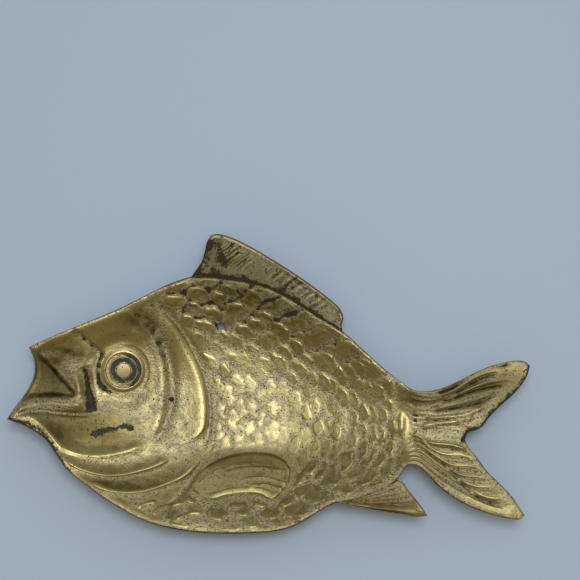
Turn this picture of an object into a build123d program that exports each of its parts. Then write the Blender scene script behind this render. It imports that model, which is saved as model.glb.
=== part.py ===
from build123d import *
import os
import numpy as np

# A shallow cast brass dish in the shape of a fish. It lies on its back on a table,
# nose toward -X, dorsal fin toward +Y, and the hollow side, with all the carving, faces +Z.
# The real dish is one casting, so its named pieces meet face to face along the carved lines.

# Driving dimensions of the dish
dish_length = 200.0
dish_width = 115.0
bowl_depth = 12.5
wall = 2.2
foot_cut = 0.5
rim_roll_height = 0.7
rim_roll_width = 2.2
fin_thickness = 1.8
fin_drop = 0.6
nail_hole_diameter = 3.0
seat_gap = 0.04

# Scales
scale_pitch = 6.2
scale_stack = 6.8
scale_height = 0.8
scale_fade = 2.4
scale_clear = 1.6

# Head and gill carving
plate_roll_height = 1.3
plate_roll_half_width = 1.7
gill_roll_height = 1.5
gill_roll_half_width = 2.2
boundary_groove_depth = 0.7
boundary_groove_half_width = 1.3
fold_height = 0.7
fold_half_width = 1.0
crease_depth = 0.8
crease_half_width = 0.9
lip_height = 0.6
lip_half_width = 1.6
mouth_depth = 2.0
mouth_slope_width = 3.0
mouth_back_spread = 3.0

# Tail and fin carving
root_step_height = 0.6
root_step_half_width = 1.2
tail_ray_height = 0.4
fin_ray_height = 0.3
base_groove_depth = 0.5
base_groove_half_width = 1.0

# Eye, three raised pieces on a level seat in the head
pupil_radius = 3.0
pupil_height = 1.5
eye_ring_radius = 5.3
eye_ring_half_width = 0.7
eye_ring_height = 0.7
socket_ring_radius = 7.8
socket_ring_half_width = 1.1
socket_ring_height = 0.9
eye_seat_margin = 1.6
eye_seat_blend = 5.0

# Pectoral fin, a raised leaf on the flank
pectoral_rise = 1.0
pectoral_edge = 0.5
pectoral_ray_height = 0.25

# How finely the surface is worked out
station_pitch = 1.25
smoothing_reach = 4.0
slope_step = 0.2

# Outline of the head, as shares of the dish's length and width
mouth_edge_shares = [
    (0.000, 0.375), (0.025, 0.452), (0.038, 0.495), (0.045, 0.535), (0.045, 0.570),
    (0.038, 0.615),
]
forehead_shares = [
    (0.038, 0.615), (0.070, 0.642), (0.116, 0.676), (0.162, 0.709), (0.213, 0.747),
]
jaw_shares = [
    (0.000, 0.375), (0.010, 0.368), (0.025, 0.360), (0.044, 0.344), (0.074, 0.308),
    (0.095, 0.258),
]
plate_groove_shares = [
    (0.095, 0.258), (0.139, 0.253), (0.196, 0.249), (0.248, 0.276), (0.280, 0.338),
    (0.295, 0.435), (0.294, 0.548), (0.274, 0.652), (0.236, 0.724), (0.213, 0.747),
]

# Outline of the gill cover
nape_shares = [(0.213, 0.747), (0.236, 0.768), (0.259, 0.788)]
throat_shares = [
    (0.095, 0.258), (0.116, 0.211), (0.139, 0.177), (0.162, 0.147), (0.185, 0.119),
    (0.215, 0.087), (0.246, 0.057), (0.272, 0.038),
]
gill_groove_shares = [
    (0.272, 0.038), (0.324, 0.117), (0.368, 0.241), (0.384, 0.375), (0.377, 0.492),
    (0.349, 0.612), (0.309, 0.721), (0.286, 0.761), (0.259, 0.788),
]

# Outline of the flank
back_shares = [
    (0.259, 0.788), (0.299, 0.823), (0.322, 0.839), (0.349, 0.853), (0.387, 0.853),
    (0.425, 0.844), (0.463, 0.834), (0.497, 0.816), (0.530, 0.789), (0.596, 0.717),
    (0.642, 0.667), (0.688, 0.595), (0.733, 0.525), (0.756, 0.495),
]
belly_shares = [
    (0.272, 0.038), (0.301, 0.023), (0.349, 0.008), (0.406, 0.001), (0.463, 0.002),
    (0.510, 0.008), (0.543, 0.022), (0.570, 0.045), (0.592, 0.070), (0.615, 0.092),
    (0.638, 0.105), (0.663, 0.114), (0.691, 0.130), (0.720, 0.151), (0.742, 0.175),
    (0.754, 0.204),
]
root_lower_shares = [(0.754, 0.204), (0.761, 0.250), (0.764, 0.291), (0.764, 0.341)]
root_upper_shares = [(0.764, 0.341), (0.762, 0.408), (0.758, 0.458), (0.756, 0.495)]

# Outline of the two tail lobes, which share a middle rib
tail_top_shares = [
    (0.756, 0.495), (0.771, 0.475), (0.789, 0.467), (0.810, 0.468), (0.832, 0.478),
    (0.859, 0.498), (0.890, 0.525), (0.920, 0.548), (0.949, 0.562), (0.973, 0.569),
    (0.992, 0.564), (1.000, 0.552),
]
tail_bottom_shares = [
    (0.754, 0.204), (0.761, 0.221), (0.773, 0.226), (0.787, 0.217), (0.802, 0.192),
    (0.819, 0.159), (0.840, 0.129), (0.867, 0.100), (0.901, 0.074), (0.933, 0.057),
    (0.958, 0.048), (0.975, 0.048), (0.983, 0.060),
]
tail_rib_shares = [(0.764, 0.341), (0.796, 0.331), (0.834, 0.321), (0.874, 0.311)]
fork_lower_shares = [
    (0.983, 0.060), (0.962, 0.117), (0.939, 0.161), (0.914, 0.204), (0.895, 0.251),
    (0.884, 0.274), (0.875, 0.298), (0.874, 0.311),
]
fork_upper_shares = [
    (0.874, 0.311), (0.882, 0.333), (0.895, 0.339), (0.907, 0.351), (0.920, 0.380),
    (0.943, 0.420), (0.966, 0.455), (0.985, 0.492), (0.996, 0.525), (1.000, 0.552),
]

# Outlines of the fins, each with the two places where its base starts and ends
dorsal_base_shares = [(0.349, 0.853), (0.641, 0.668)]
dorsal_front_shares = [
    (0.358, 0.876), (0.368, 0.903), (0.375, 0.943), (0.379, 0.973), (0.385, 0.993),
]
dorsal_top_shares = [
    (0.385, 0.993), (0.392, 0.998), (0.408, 0.997), (0.429, 0.985), (0.459, 0.960),
    (0.505, 0.913), (0.550, 0.863), (0.596, 0.806), (0.623, 0.768), (0.636, 0.746),
    (0.642, 0.726),
]
dorsal_rear_shares = [(0.640, 0.689), (0.643, 0.709), (0.642, 0.726)]
anal_base_shares = [(0.630, 0.102), (0.742, 0.175)]
anal_bottom_shares = [
    (0.634, 0.0975), (0.657, 0.092), (0.691, 0.080), (0.749, 0.064), (0.787, 0.055),
    (0.800, 0.059),
]
anal_rear_shares = [(0.800, 0.059), (0.787, 0.092), (0.773, 0.124), (0.763, 0.145), (0.754, 0.167)]
pectoral_top_shares = [
    (0.349, 0.161), (0.364, 0.197), (0.383, 0.227), (0.410, 0.251), (0.444, 0.266),
    (0.478, 0.269), (0.509, 0.261), (0.531, 0.239), (0.541, 0.212),
]
pectoral_bottom_shares = [
    (0.356, 0.140), (0.375, 0.117), (0.392, 0.109), (0.415, 0.119), (0.444, 0.127),
    (0.472, 0.127), (0.491, 0.120), (0.505, 0.109),
]
pectoral_root_shares = [(0.356, 0.140), (0.351, 0.151), (0.349, 0.161)]
pectoral_tip_shares = [
    (0.505, 0.109), (0.518, 0.127), (0.531, 0.154), (0.539, 0.184), (0.541, 0.212),
]

# Lines of the carving
mouth_upper_shares = [
    (0.038, 0.615), (0.069, 0.582), (0.086, 0.548), (0.105, 0.512), (0.133, 0.452),
]
mouth_lower_shares = [
    (0.000, 0.375), (0.013, 0.415), (0.029, 0.433), (0.053, 0.441), (0.082, 0.446),
    (0.110, 0.440), (0.133, 0.452),
]
lip_shares = [(0.010, 0.385), (0.044, 0.405), (0.101, 0.408), (0.150, 0.412)]
crease_shares = [(0.118, 0.676), (0.135, 0.656), (0.154, 0.629), (0.185, 0.585)]
mouth_corner_shares = [(0.141, 0.552), (0.146, 0.515), (0.150, 0.475), (0.160, 0.405)]
plate_roll_shares = [
    (0.013, 0.385), (0.046, 0.378), (0.078, 0.330), (0.114, 0.286), (0.168, 0.268),
    (0.223, 0.279), (0.265, 0.323), (0.285, 0.408), (0.287, 0.515), (0.270, 0.629),
    (0.234, 0.705), (0.205, 0.735),
]
gill_roll_shares = [
    (0.257, 0.765), (0.299, 0.700), (0.337, 0.605), (0.365, 0.492), (0.370, 0.391),
    (0.366, 0.338), (0.345, 0.318), (0.310, 0.290),
]
fold_one_shares = [
    (0.101, 0.237), (0.143, 0.206), (0.206, 0.192), (0.272, 0.212), (0.322, 0.251),
]
fold_two_shares = [
    (0.131, 0.184), (0.185, 0.144), (0.250, 0.135), (0.316, 0.167), (0.364, 0.237),
]

# Depth of the hollow along the dish, as shares of the length and of the bowl's depth
depth_shares = [
    (0.000, 0.06), (0.045, 0.34), (0.140, 0.62), (0.270, 0.88), (0.370, 0.97),
    (0.430, 1.00), (0.560, 1.00), (0.640, 0.80), (0.720, 0.48), (0.765, 0.30),
    (0.840, 0.14), (1.000, 0.06),
]
mouth_roof_shares = [(0.000, 0.600), (0.038, 0.615)]
nail_hole_shares = (0.406, 0.692)
eye_shares = (0.216, 0.542)

# How the scales are shaped and strewn, as shares of their spacing and plain turns
scale_reach_share = 0.62
scale_spread_share = 0.60
scale_lean_share = 0.38
scale_wander_share = 0.0625
stack_turn = 12.9
seat_turn = 78.2

# Plain counts and powers
line_steps = 90
wall_power = 2.4
across_count = 57
lobe_across_count = 29
fin_across_count = 15
back_skip_count = 4
first_scale_stack_count = 3
upper_ray_count = 5
lower_ray_count = 6
dorsal_ray_count = 26
dorsal_ray_lean_count = 2
anal_ray_count = 5
pectoral_ray_count = 5
stations_per_ray_count = 6
ray_fade_share = 0.17

rim_height = bowl_depth + wall - foot_cut
plan_size = np.array((dish_length, dish_width))


def place(shares):
    """Millimetre positions of points that are given as shares of the dish."""
    return np.asarray(shares, float) * plan_size - plan_size / 2


def smooth_line(points, steps):
    """Points at even steps along a smooth curve through the given points."""
    points = np.asarray(points, float)
    chords = np.diff(points, axis=0)
    lengths = np.linalg.norm(chords, axis=1)
    knots = np.concatenate(([0], np.cumsum(lengths)))
    slopes = chords / lengths[:, None]
    before, after = lengths[:-1, None], lengths[1:, None]
    middle = (slopes[:-1] * after + slopes[1:] * before) / (before + after)
    tangents = np.vstack((slopes[:1], middle, slopes[-1:]))
    walk = np.linspace(0, knots[-1], steps)
    piece = np.clip(np.searchsorted(knots, walk, side="right") - 1, 0, len(lengths) - 1)
    span = lengths[piece][:, None]
    t = ((walk - knots[piece]) / lengths[piece])[:, None]
    start = (2 * t**3 - 3 * t**2 + 1) * points[piece]
    finish = (3 * t**2 - 2 * t**3) * points[piece + 1]
    leave = (t**3 - 2 * t**2 + t) * span * tangents[piece]
    arrive = (t**3 - t**2) * span * tangents[piece + 1]
    return start + finish + leave + arrive


def line(shares, steps=line_steps):
    """A carved or outline curve in millimetres."""
    return smooth_line(place(shares), steps)


def patch(bottom, top, left, right):
    """Plan points [station][across] of a four sided patch between its edges."""
    u = np.linspace(0, 1, len(bottom))[:, None, None]
    v = np.linspace(0, 1, len(left))[None, :, None]
    edges = (1 - v) * bottom[:, None] + v * top[:, None]
    sides = (1 - u) * left[None] + u * right[None]
    near = (1 - v) * bottom[0] + v * top[0]
    far = (1 - v) * bottom[-1] + v * top[-1]
    return edges + sides - (1 - u) * near - u * far


def nearest(x, y, path):
    """Distance to a path, and how far along it the nearest point lies, as a share."""
    best = np.full(np.shape(x), np.inf)
    share = np.zeros(np.shape(x))
    for step in range(len(path) - 1):
        run = path[step + 1] - path[step]
        t = ((x - path[step][0]) * run[0] + (y - path[step][1]) * run[1]) / (run @ run)
        t = np.clip(t, 0, 1)
        away = np.hypot(x - path[step][0] - t * run[0], y - path[step][1] - t * run[1])
        closer = away < best
        best = np.where(closer, away, best)
        share = np.where(closer, (step + t) / (len(path) - 1), share)
    return best, share


def inside_loop(x, y, loop):
    """Whether plan points lie inside a loop that ends where it starts."""
    odd = np.zeros(np.shape(x), bool)
    for (ax, ay), (bx, by) in zip(loop[:-1], loop[1:]):
        if ay != by:
            odd ^= ((ay > y) != (by > y)) & (x < ax + (y - ay) * (bx - ax) / (by - ay))
    return odd


def ease(t):
    """Smooth step from 0 to 1."""
    t = np.clip(t, 0, 1)
    return t * t * (3 - 2 * t)


def ridge(x, y, shares, height, half_width, fade_share=0.12):
    """A rounded ridge along a carved line, fading out at both of its ends."""
    away, share = nearest(x, y, line(shares, line_steps // 2))
    fade = ease(np.minimum(share, 1 - share) / fade_share)
    return height * fade * np.exp(-((away / half_width) ** 2))


# Lower and upper edge of the hollow at each place along the dish
lower_edge = np.vstack([line(shares) for shares in (
    jaw_shares, throat_shares, belly_shares, tail_bottom_shares)])
upper_edge = np.vstack([place(mouth_roof_shares)] + [line(shares) for shares in (
    forehead_shares, nape_shares, back_shares, tail_top_shares)])
outer_edge = [line(shares, line_steps // 2) for shares in (
    mouth_edge_shares, forehead_shares, nape_shares, back_shares, tail_top_shares,
    fork_upper_shares, fork_lower_shares, tail_bottom_shares, belly_shares,
    throat_shares, jaw_shares)]
places_along = np.arange(-dish_length / 2, dish_length / 2 + slope_step, slope_step)
easing = np.hanning(int(smoothing_reach * 2 / slope_step) | 1)


def edge_height(edge):
    """Y of an edge at each place along the dish, with its corners eased."""
    plain = np.interp(places_along, edge[:, 0], edge[:, 1])
    padded = np.pad(plain, len(easing) // 2, mode="edge")
    return np.convolve(padded, easing / easing.sum(), mode="valid")


lower_y = edge_height(lower_edge)
upper_y = edge_height(upper_edge)
depth_line = smooth_line(np.array(depth_shares) * (dish_length, bowl_depth), line_steps * 4)
mouth_upper = line(mouth_upper_shares)
mouth_lower = line(mouth_lower_shares)
eye_x, eye_y = place(eye_shares)


def scoop(x, y, spread):
    """Depth of the mouth. Behind the wall the same scoop is spread wider, so that it bulges softly."""
    roof = np.interp(x, mouth_upper[:, 0], mouth_upper[:, 1])
    floor = np.interp(x, mouth_lower[:, 0], mouth_lower[:, 1])
    insets = (roof - y, y - floor, mouth_upper[-1][0] - x)
    return mouth_depth * np.prod(
        [ease((inset + spread) / (mouth_slope_width + spread)) for inset in insets], axis=0)


def hollow(x, y, spread=0):
    """Height of the plain bowl with the mouth scooped into it."""
    low = np.interp(x, places_along, lower_y)
    high = np.interp(x, places_along, upper_y)
    across = np.clip(2 * (y - low) / (high - low) - 1, -1, 1)
    depth = np.interp(x + dish_length / 2, depth_line[:, 0], depth_line[:, 1])
    return rim_height - depth * (1 - np.abs(across) ** wall_power) - scoop(x, y, spread)


def slopes_of(height_of, x, y, spread=0):
    """Slopes of a height field along X and along Y."""
    rise_x = height_of(x + slope_step, y, spread) - height_of(x - slope_step, y, spread)
    rise_y = height_of(x, y + slope_step, spread) - height_of(x, y - slope_step, spread)
    return rise_x / (2 * slope_step), rise_y / (2 * slope_step)


# The eye's level seat lies in the plane that touches the bowl at the eye
eye_z = float(hollow(eye_x, eye_y))
eye_slope_x, eye_slope_y = [float(slope) for slope in slopes_of(hollow, eye_x, eye_y)]
eye_seat_radius = socket_ring_radius + socket_ring_half_width + eye_seat_margin


def form(x, y, spread=0):
    """Height of the uncarved inside, level around the eye."""
    seat = eye_z + eye_slope_x * (x - eye_x) + eye_slope_y * (y - eye_y)
    keep = ease((np.hypot(x - eye_x, y - eye_y) - eye_seat_radius) / eye_seat_blend)
    return seat * (1 - keep) + hollow(x, y, spread) * keep


def underside(x, y):
    """Height of the smooth back, one wall's thickness behind the uncarved inside."""
    slope_x, slope_y = slopes_of(form, x, y, mouth_back_spread)
    return form(x, y, mouth_back_spread) - wall * np.sqrt(1 + slope_x**2 + slope_y**2)


def carving(x, y):
    """Height of the carving over the uncarved inside, none on the eye's seat."""
    height = ridge(x, y, plate_roll_shares, plate_roll_height, plate_roll_half_width)
    height += ridge(x, y, gill_roll_shares, gill_roll_height, gill_roll_half_width)
    height += ridge(x, y, lip_shares, lip_height, lip_half_width)
    for fold_shares in (fold_one_shares, fold_two_shares):
        height += ridge(x, y, fold_shares, fold_height, fold_half_width)
    for cut_shares in (crease_shares, mouth_corner_shares):
        height -= ridge(x, y, cut_shares, crease_depth, crease_half_width)
    for groove_shares in (plate_groove_shares, gill_groove_shares):
        height -= ridge(x, y, groove_shares, boundary_groove_depth, boundary_groove_half_width)
    root_shares = root_lower_shares[:-1] + root_upper_shares
    height += ridge(x, y, root_shares, root_step_height, root_step_half_width)
    return height * ease((np.hypot(x - eye_x, y - eye_y) - eye_seat_radius) / eye_seat_margin)


def edge_distance(x, y):
    """Distance to the outer edge of the body and the tail."""
    return np.min([nearest(x, y, path)[0] for path in outer_edge], axis=0)


# Plan of each patch. Neighbours share the points of their common edge
def station_count(path):
    length = np.linalg.norm(np.diff(path, axis=0), axis=1).sum()
    return back_skip_count * int(round(length / station_pitch / back_skip_count)) + 1


head_stations = station_count(line(forehead_shares))
gill_stations = station_count(line(throat_shares))
flank_stations = station_count(line(belly_shares))
lobe_stations = station_count(line(tail_top_shares))
plate_groove = line(plate_groove_shares, across_count)
gill_groove = line(gill_groove_shares, across_count)
lower_root = line(root_lower_shares, lobe_across_count)
upper_root = line(root_upper_shares, lobe_across_count)
tail_rib = line(tail_rib_shares, lobe_stations)
head_plan = patch(line(jaw_shares, head_stations), line(forehead_shares, head_stations),
                  line(mouth_edge_shares, across_count), plate_groove)
gill_plan = patch(line(throat_shares, gill_stations), line(nape_shares, gill_stations),
                  plate_groove, gill_groove)
flank_plan = patch(line(belly_shares, flank_stations), line(back_shares, flank_stations),
                   gill_groove, np.vstack((lower_root, upper_root[1:])))
lower_lobe_plan = patch(line(tail_bottom_shares, lobe_stations), tail_rib,
                        lower_root, line(fork_lower_shares, lobe_across_count))
upper_lobe_plan = patch(tail_rib, line(tail_top_shares, lobe_stations),
                        upper_root, line(fork_upper_shares, lobe_across_count))


def base_between(path, ends_shares, stations):
    """The stretch of an edge of the flank that a fin stands on, a hairline outside it."""
    first, last = [int(np.hypot(*(path - place(end)).T).argmin()) for end in ends_shares]
    run = np.gradient(path, axis=0)[first:last + 1]
    outward = np.column_stack((-run[:, 1], run[:, 0])) / np.linalg.norm(run, axis=1)[:, None]
    side = np.sign((outward * (path[first:last + 1] - flank_plan.mean(axis=(0, 1)))).sum(axis=1))
    return smooth_line(path[first:last + 1] + outward * side[:, None] * seat_gap, stations)


dorsal_stations = dorsal_ray_count * stations_per_ray_count + 1
dorsal_base = base_between(flank_plan[:, -1], dorsal_base_shares, dorsal_stations)
dorsal_plan = patch(
    dorsal_base, line(dorsal_top_shares, len(dorsal_base)),
    smooth_line(np.vstack((dorsal_base[:1], place(dorsal_front_shares))), fin_across_count),
    smooth_line(np.vstack((dorsal_base[-1:], place(dorsal_rear_shares))), fin_across_count))
anal_base = base_between(flank_plan[:, 0], anal_base_shares, line_steps)
anal_front = np.linspace(place(anal_bottom_shares[0]), anal_base[0], fin_across_count)
anal_rear = smooth_line(np.vstack((place(anal_rear_shares), anal_base[-1:])), fin_across_count)
anal_plan = patch(line(anal_bottom_shares, len(anal_base)), anal_base, anal_front, anal_rear)
pectoral_stations = station_count(line(pectoral_top_shares))
pectoral_plan = patch(
    line(pectoral_bottom_shares, pectoral_stations), line(pectoral_top_shares, pectoral_stations),
    line(pectoral_root_shares, fin_across_count), line(pectoral_tip_shares, fin_across_count))
pectoral_loop = np.vstack((pectoral_plan[:-1, 0], pectoral_plan[-1, :-1],
                           pectoral_plan[:0:-1, -1], pectoral_plan[0, ::-1]))


def flank_point(u, v):
    """Plan point of the flank at shares u along it and v across it."""
    station = u * (len(flank_plan) - 1)
    before = min(int(station), len(flank_plan) - 2)
    curve = flank_plan[before] + (flank_plan[before + 1] - flank_plan[before]) * (station - before)
    rows = np.linspace(0, 1, len(curve))
    return np.array((np.interp(v, rows, curve[:, 0]), np.interp(v, rows, curve[:, 1])))


def scale_seats():
    """Centre and direction of every scale, in staggered stacks from gill to tail."""
    seats = []
    middle = flank_plan[:, across_count // 2]
    length = np.linalg.norm(np.diff(middle, axis=0), axis=1).sum()
    stack_count = int(length / (scale_pitch / 2))
    for stack_number in range(first_scale_stack_count, stack_count):
        u = stack_number / stack_count
        seat_count = int(round(np.linalg.norm(flank_point(u, 1) - flank_point(u, 0)) / scale_stack))
        for seat in range(seat_count + 1 - stack_number % 2):
            v = (seat + 0.5 * (stack_number % 2)) / seat_count
            wander = np.sin(stack_turn * stack_number + seat_turn * seat) * scale_pitch * scale_wander_share
            ahead = flank_point(min(u + 0.02, 1), v) - flank_point(max(u - 0.02, 0), v)
            here = flank_point(u, v)
            seats.append((here[0] + wander, here[1] - wander, np.arctan2(ahead[1], ahead[0])))
    return seats


def scale_relief(x, y):
    """Domed scales that rise toward the tail like shingles, none under the pectoral fin."""
    height = np.zeros(x.shape)
    for centre_x, centre_y, turn in scale_seats():
        dx, dy = x - centre_x, y - centre_y
        forward = (dx * np.cos(turn) + dy * np.sin(turn)) / (scale_pitch * scale_reach_share)
        sideways = (dy * np.cos(turn) - dx * np.sin(turn)) / (scale_stack * scale_spread_share)
        dome = np.maximum(1 - (forward**2 + sideways**2) ** 2, 0)
        height = np.maximum(height, dome * (1 - scale_lean_share + scale_lean_share * forward))
    clear = np.where(inside_loop(x, y, pectoral_loop), 0, nearest(x, y, pectoral_loop)[0])
    gill_clear = nearest(x, y, gill_groove)[0]
    shown = ease((clear - scale_clear) / scale_fade) * ease((gill_clear - scale_clear) / scale_fade)
    return scale_height * height * shown


def rays(plan, height, across_rays, along_rays=0):
    """Even rays over a fin or a lobe, so many across it and so many along it, fading at its edges."""
    u = np.linspace(0, 1, plan.shape[0])[:, None]
    v = np.linspace(0, 1, plan.shape[1])[None, :]
    edges = ease(np.minimum(u, 1 - u) / ray_fade_share) * ease(np.minimum(v, 1 - v) / ray_fade_share)
    return height * np.cos(2 * np.pi * (across_rays * v + along_rays * u)) * edges


def with_heights(plan, height):
    return np.concatenate((plan, height[..., None]), axis=2)


def wall_grids(plan, added=0):
    """Front and back points of a wall that follows the bowl."""
    x, y = plan[..., 0], plan[..., 1]
    inward = ease(edge_distance(x, y) / rim_roll_width)
    front = form(x, y) + (carving(x, y) + added) * inward - rim_roll_height * (1 - inward)
    back_plan = plan[::back_skip_count]
    return with_heights(plan, front), with_heights(back_plan, underside(*back_plan.T).T)


def fin_grids(plan, added, base_path):
    """Front and back points of a level fin that stands a little below the rim."""
    groove = np.exp(-(nearest(plan[..., 0], plan[..., 1], base_path)[0] / base_groove_half_width) ** 2)
    top = rim_height - fin_drop + added - base_groove_depth * groove
    back = np.full(plan.shape[:2], rim_height - fin_drop - fin_thickness)
    return with_heights(plan, top), with_heights(plan, back)


def curve_through(points):
    """An edge through points, straight when there are only two."""
    evenly = [float(place_along) for place_along in np.linspace(0, 1, len(points))]
    points = [tuple(point) for point in points]
    if len(points) == 2:
        return Edge.make_line(*points)
    return Edge.make_spline(points, parameters=evenly)


def cast_wall(front, back):
    """A closed solid between a carved front and a smooth back, in strips along the fish."""
    front, back = front.swapaxes(0, 1), back.swapaxes(0, 1)
    front_lines = [curve_through(row) for row in front]
    back_lines = [curve_through(row) for row in back]
    faces = [Face.make_surface_from_curves(front_lines[end], back_lines[end]) for end in (0, -1)]
    for station in range(len(front) - 1):
        for lines in (front_lines, back_lines):
            faces.append(Face.make_surface_from_curves(lines[station], lines[station + 1]))
        for side in (0, -1):
            upper = Edge.make_line(tuple(front[station][side]), tuple(front[station + 1][side]))
            lower = Edge.make_line(tuple(back[station][side]), tuple(back[station + 1][side]))
            faces.append(Face.make_surface_from_curves(upper, lower))
    return Solid(Shell(faces))


os.makedirs("parts", exist_ok=True)

# Head, from the open mouth to the groove behind the cheek plate
with BuildPart() as head:
    add(cast_wall(*wall_grids(head_plan)))
head.part.label = "head"
export_step(head.part, "parts/head.step")

# Gill cover, between the two long grooves
with BuildPart() as gill_cover:
    add(cast_wall(*wall_grids(gill_plan)))
    split(bisect_by=Plane.XY, keep=Keep.TOP)
gill_cover.part.label = "gill_cover"
export_step(gill_cover.part, "parts/gill_cover.step")

# Flank with its scales, the nail hole and the flat that the dish stands on
with BuildPart() as flank:
    add(cast_wall(*wall_grids(flank_plan, scale_relief(flank_plan[..., 0], flank_plan[..., 1]))))
    with Locations(tuple(place(nail_hole_shares))):
        Hole(nail_hole_diameter / 2)
    split(bisect_by=Plane.XY, keep=Keep.TOP)
flank.part.label = "flank"
export_step(flank.part, "parts/flank.step")

# Tail, a lower and an upper lobe that meet along the middle rib
with BuildPart() as tail_lower_lobe:
    add(cast_wall(*wall_grids(lower_lobe_plan, rays(lower_lobe_plan, tail_ray_height, lower_ray_count))))
tail_lower_lobe.part.label = "tail_lower_lobe"
export_step(tail_lower_lobe.part, "parts/tail_lower_lobe.step")

with BuildPart() as tail_upper_lobe:
    add(cast_wall(*wall_grids(upper_lobe_plan, rays(upper_lobe_plan, tail_ray_height, upper_ray_count))))
tail_upper_lobe.part.label = "tail_upper_lobe"
export_step(tail_upper_lobe.part, "parts/tail_upper_lobe.step")

# Dorsal fin, standing on the back
with BuildPart() as dorsal_fin:
    dorsal_rays = rays(dorsal_plan, fin_ray_height, -dorsal_ray_lean_count, dorsal_ray_count)
    add(cast_wall(*fin_grids(dorsal_plan, dorsal_rays, dorsal_base)))
dorsal_fin.part.label = "dorsal_fin"
export_step(dorsal_fin.part, "parts/dorsal_fin.step")

# Anal fin, hanging from the belly
with BuildPart() as anal_fin:
    anal_rays = rays(anal_plan, fin_ray_height, anal_ray_count)
    add(cast_wall(*fin_grids(anal_plan, anal_rays, anal_base)))
anal_fin.part.label = "anal_fin"
export_step(anal_fin.part, "parts/anal_fin.step")

# Pectoral fin, a leaf that lies on the flank
with BuildPart() as pectoral_fin:
    leaf_x, leaf_y = pectoral_plan[..., 0], pectoral_plan[..., 1]
    leaf_seat = form(leaf_x, leaf_y) + seat_gap
    leaf_crown = rays(pectoral_plan, pectoral_ray_height, pectoral_ray_count)
    leaf_inward = ease(nearest(leaf_x, leaf_y, pectoral_loop)[0] / scale_fade)
    leaf_crown += pectoral_edge + (pectoral_rise - pectoral_edge) * leaf_inward
    add(cast_wall(with_heights(pectoral_plan, leaf_seat + leaf_crown),
                  with_heights(pectoral_plan, leaf_seat)))
pectoral_fin.part.label = "pectoral_fin"
export_step(pectoral_fin.part, "parts/pectoral_fin.step")

# Eye: a domed pupil and two rings, turned about the line square to the seat
eye_seat = Plane(origin=(eye_x, eye_y, eye_z + seat_gap), z_dir=(-eye_slope_x, -eye_slope_y, 1))
eye_axis = Axis(eye_seat.origin, eye_seat.z_dir)
eye_section = Plane(origin=eye_seat.origin, x_dir=eye_seat.x_dir,
                    z_dir=eye_seat.x_dir.cross(eye_seat.z_dir))

with BuildPart() as eye_pupil:
    with BuildSketch(eye_section):
        with BuildLine():
            TangentArc((0, pupil_height), (pupil_radius, 0), tangent=(1, 0))
            Polyline((pupil_radius, 0), (0, 0), (0, pupil_height))
        make_face()
    revolve(axis=eye_axis)
eye_pupil.part.label = "eye_pupil"
export_step(eye_pupil.part, "parts/eye_pupil.step")


with BuildPart() as eye_ring:
    with BuildSketch(eye_section):
        with BuildLine():
            crown = EllipticalCenterArc((eye_ring_radius, 0), eye_ring_half_width, eye_ring_height,
                                        start_angle=0, arc_size=180)
            Line(crown @ 1, crown @ 0)
        make_face()
    revolve(axis=eye_axis)
eye_ring.part.label = "eye_ring"
export_step(eye_ring.part, "parts/eye_ring.step")

with BuildPart() as eye_socket_ring:
    with BuildSketch(eye_section):
        with BuildLine():
            crown = EllipticalCenterArc((socket_ring_radius, 0), socket_ring_half_width,
                                        socket_ring_height, start_angle=0, arc_size=180)
            Line(crown @ 1, crown @ 0)
        make_face()
    revolve(axis=eye_axis)
eye_socket_ring.part.label = "eye_socket_ring"
export_step(eye_socket_ring.part, "parts/eye_socket_ring.step")
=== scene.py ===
# %% [markdown]
# # A cast brass dish in the shape of a fish
#
# The real dish was poured in one go: brass was run into a sand mould, shaken out, and its high
# places were rubbed bright. So it has no screws and no seams, only features that were carved in
# the pattern: a head plate, a gill cover, a scaly flank, fins and a tail.
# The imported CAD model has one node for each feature. Here each node gets a finer mesh that
# follows the same curves and the same bowl, with softer edges, small casting faults and dirt.

import bmesh
import bpy
import numpy as np
from mathutils import Matrix, Vector


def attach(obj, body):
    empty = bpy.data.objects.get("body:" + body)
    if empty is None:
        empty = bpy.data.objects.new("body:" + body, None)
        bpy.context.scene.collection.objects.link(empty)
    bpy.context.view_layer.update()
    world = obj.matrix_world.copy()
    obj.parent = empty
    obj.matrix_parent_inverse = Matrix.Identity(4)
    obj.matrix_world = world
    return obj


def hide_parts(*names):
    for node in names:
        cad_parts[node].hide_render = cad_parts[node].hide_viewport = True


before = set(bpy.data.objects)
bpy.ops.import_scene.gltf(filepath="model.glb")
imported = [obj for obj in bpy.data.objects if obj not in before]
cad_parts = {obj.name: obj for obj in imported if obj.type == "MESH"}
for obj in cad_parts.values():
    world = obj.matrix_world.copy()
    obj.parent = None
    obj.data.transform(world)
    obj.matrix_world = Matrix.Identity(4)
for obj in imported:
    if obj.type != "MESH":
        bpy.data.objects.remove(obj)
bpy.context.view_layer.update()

mm = 0.001

# %% [markdown]
# ## Sizes
#
# All sizes are millimetres until a vertex is placed, because that is how a founder would think
# of them. Typed into each piece they would drift apart, so the bowl's depth, the wall and the
# rim are named once and come first, since every form hangs on them.

# %% Sizes of the bowl, the rim and the eye
dish_length = 200.0
dish_width = 115.0
bowl_depth = 12.5
wall = 2.2
foot_cut = 0.5
rim_height = bowl_depth + wall - foot_cut
rim_roll_height = 0.95
rim_roll_width = 2.8
rim_radius = 0.6
crest_softening = 0.3
scale_edge_reach = 1.4
tail_start = 48.0
tail_blend = 10.0
tail_roll_width_cut = 0.5
tail_roll_height_cut = 0.8
back_radius = 0.5
wall_power = 2.4
mouth_depth = 2.0
mouth_slope_width = 3.0
mouth_back_spread = 3.0

fin_drop = 0.6
fin_thickness = 1.8
fin_root_overlap = 0.8
nail_hole_radius = 1.5

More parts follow.
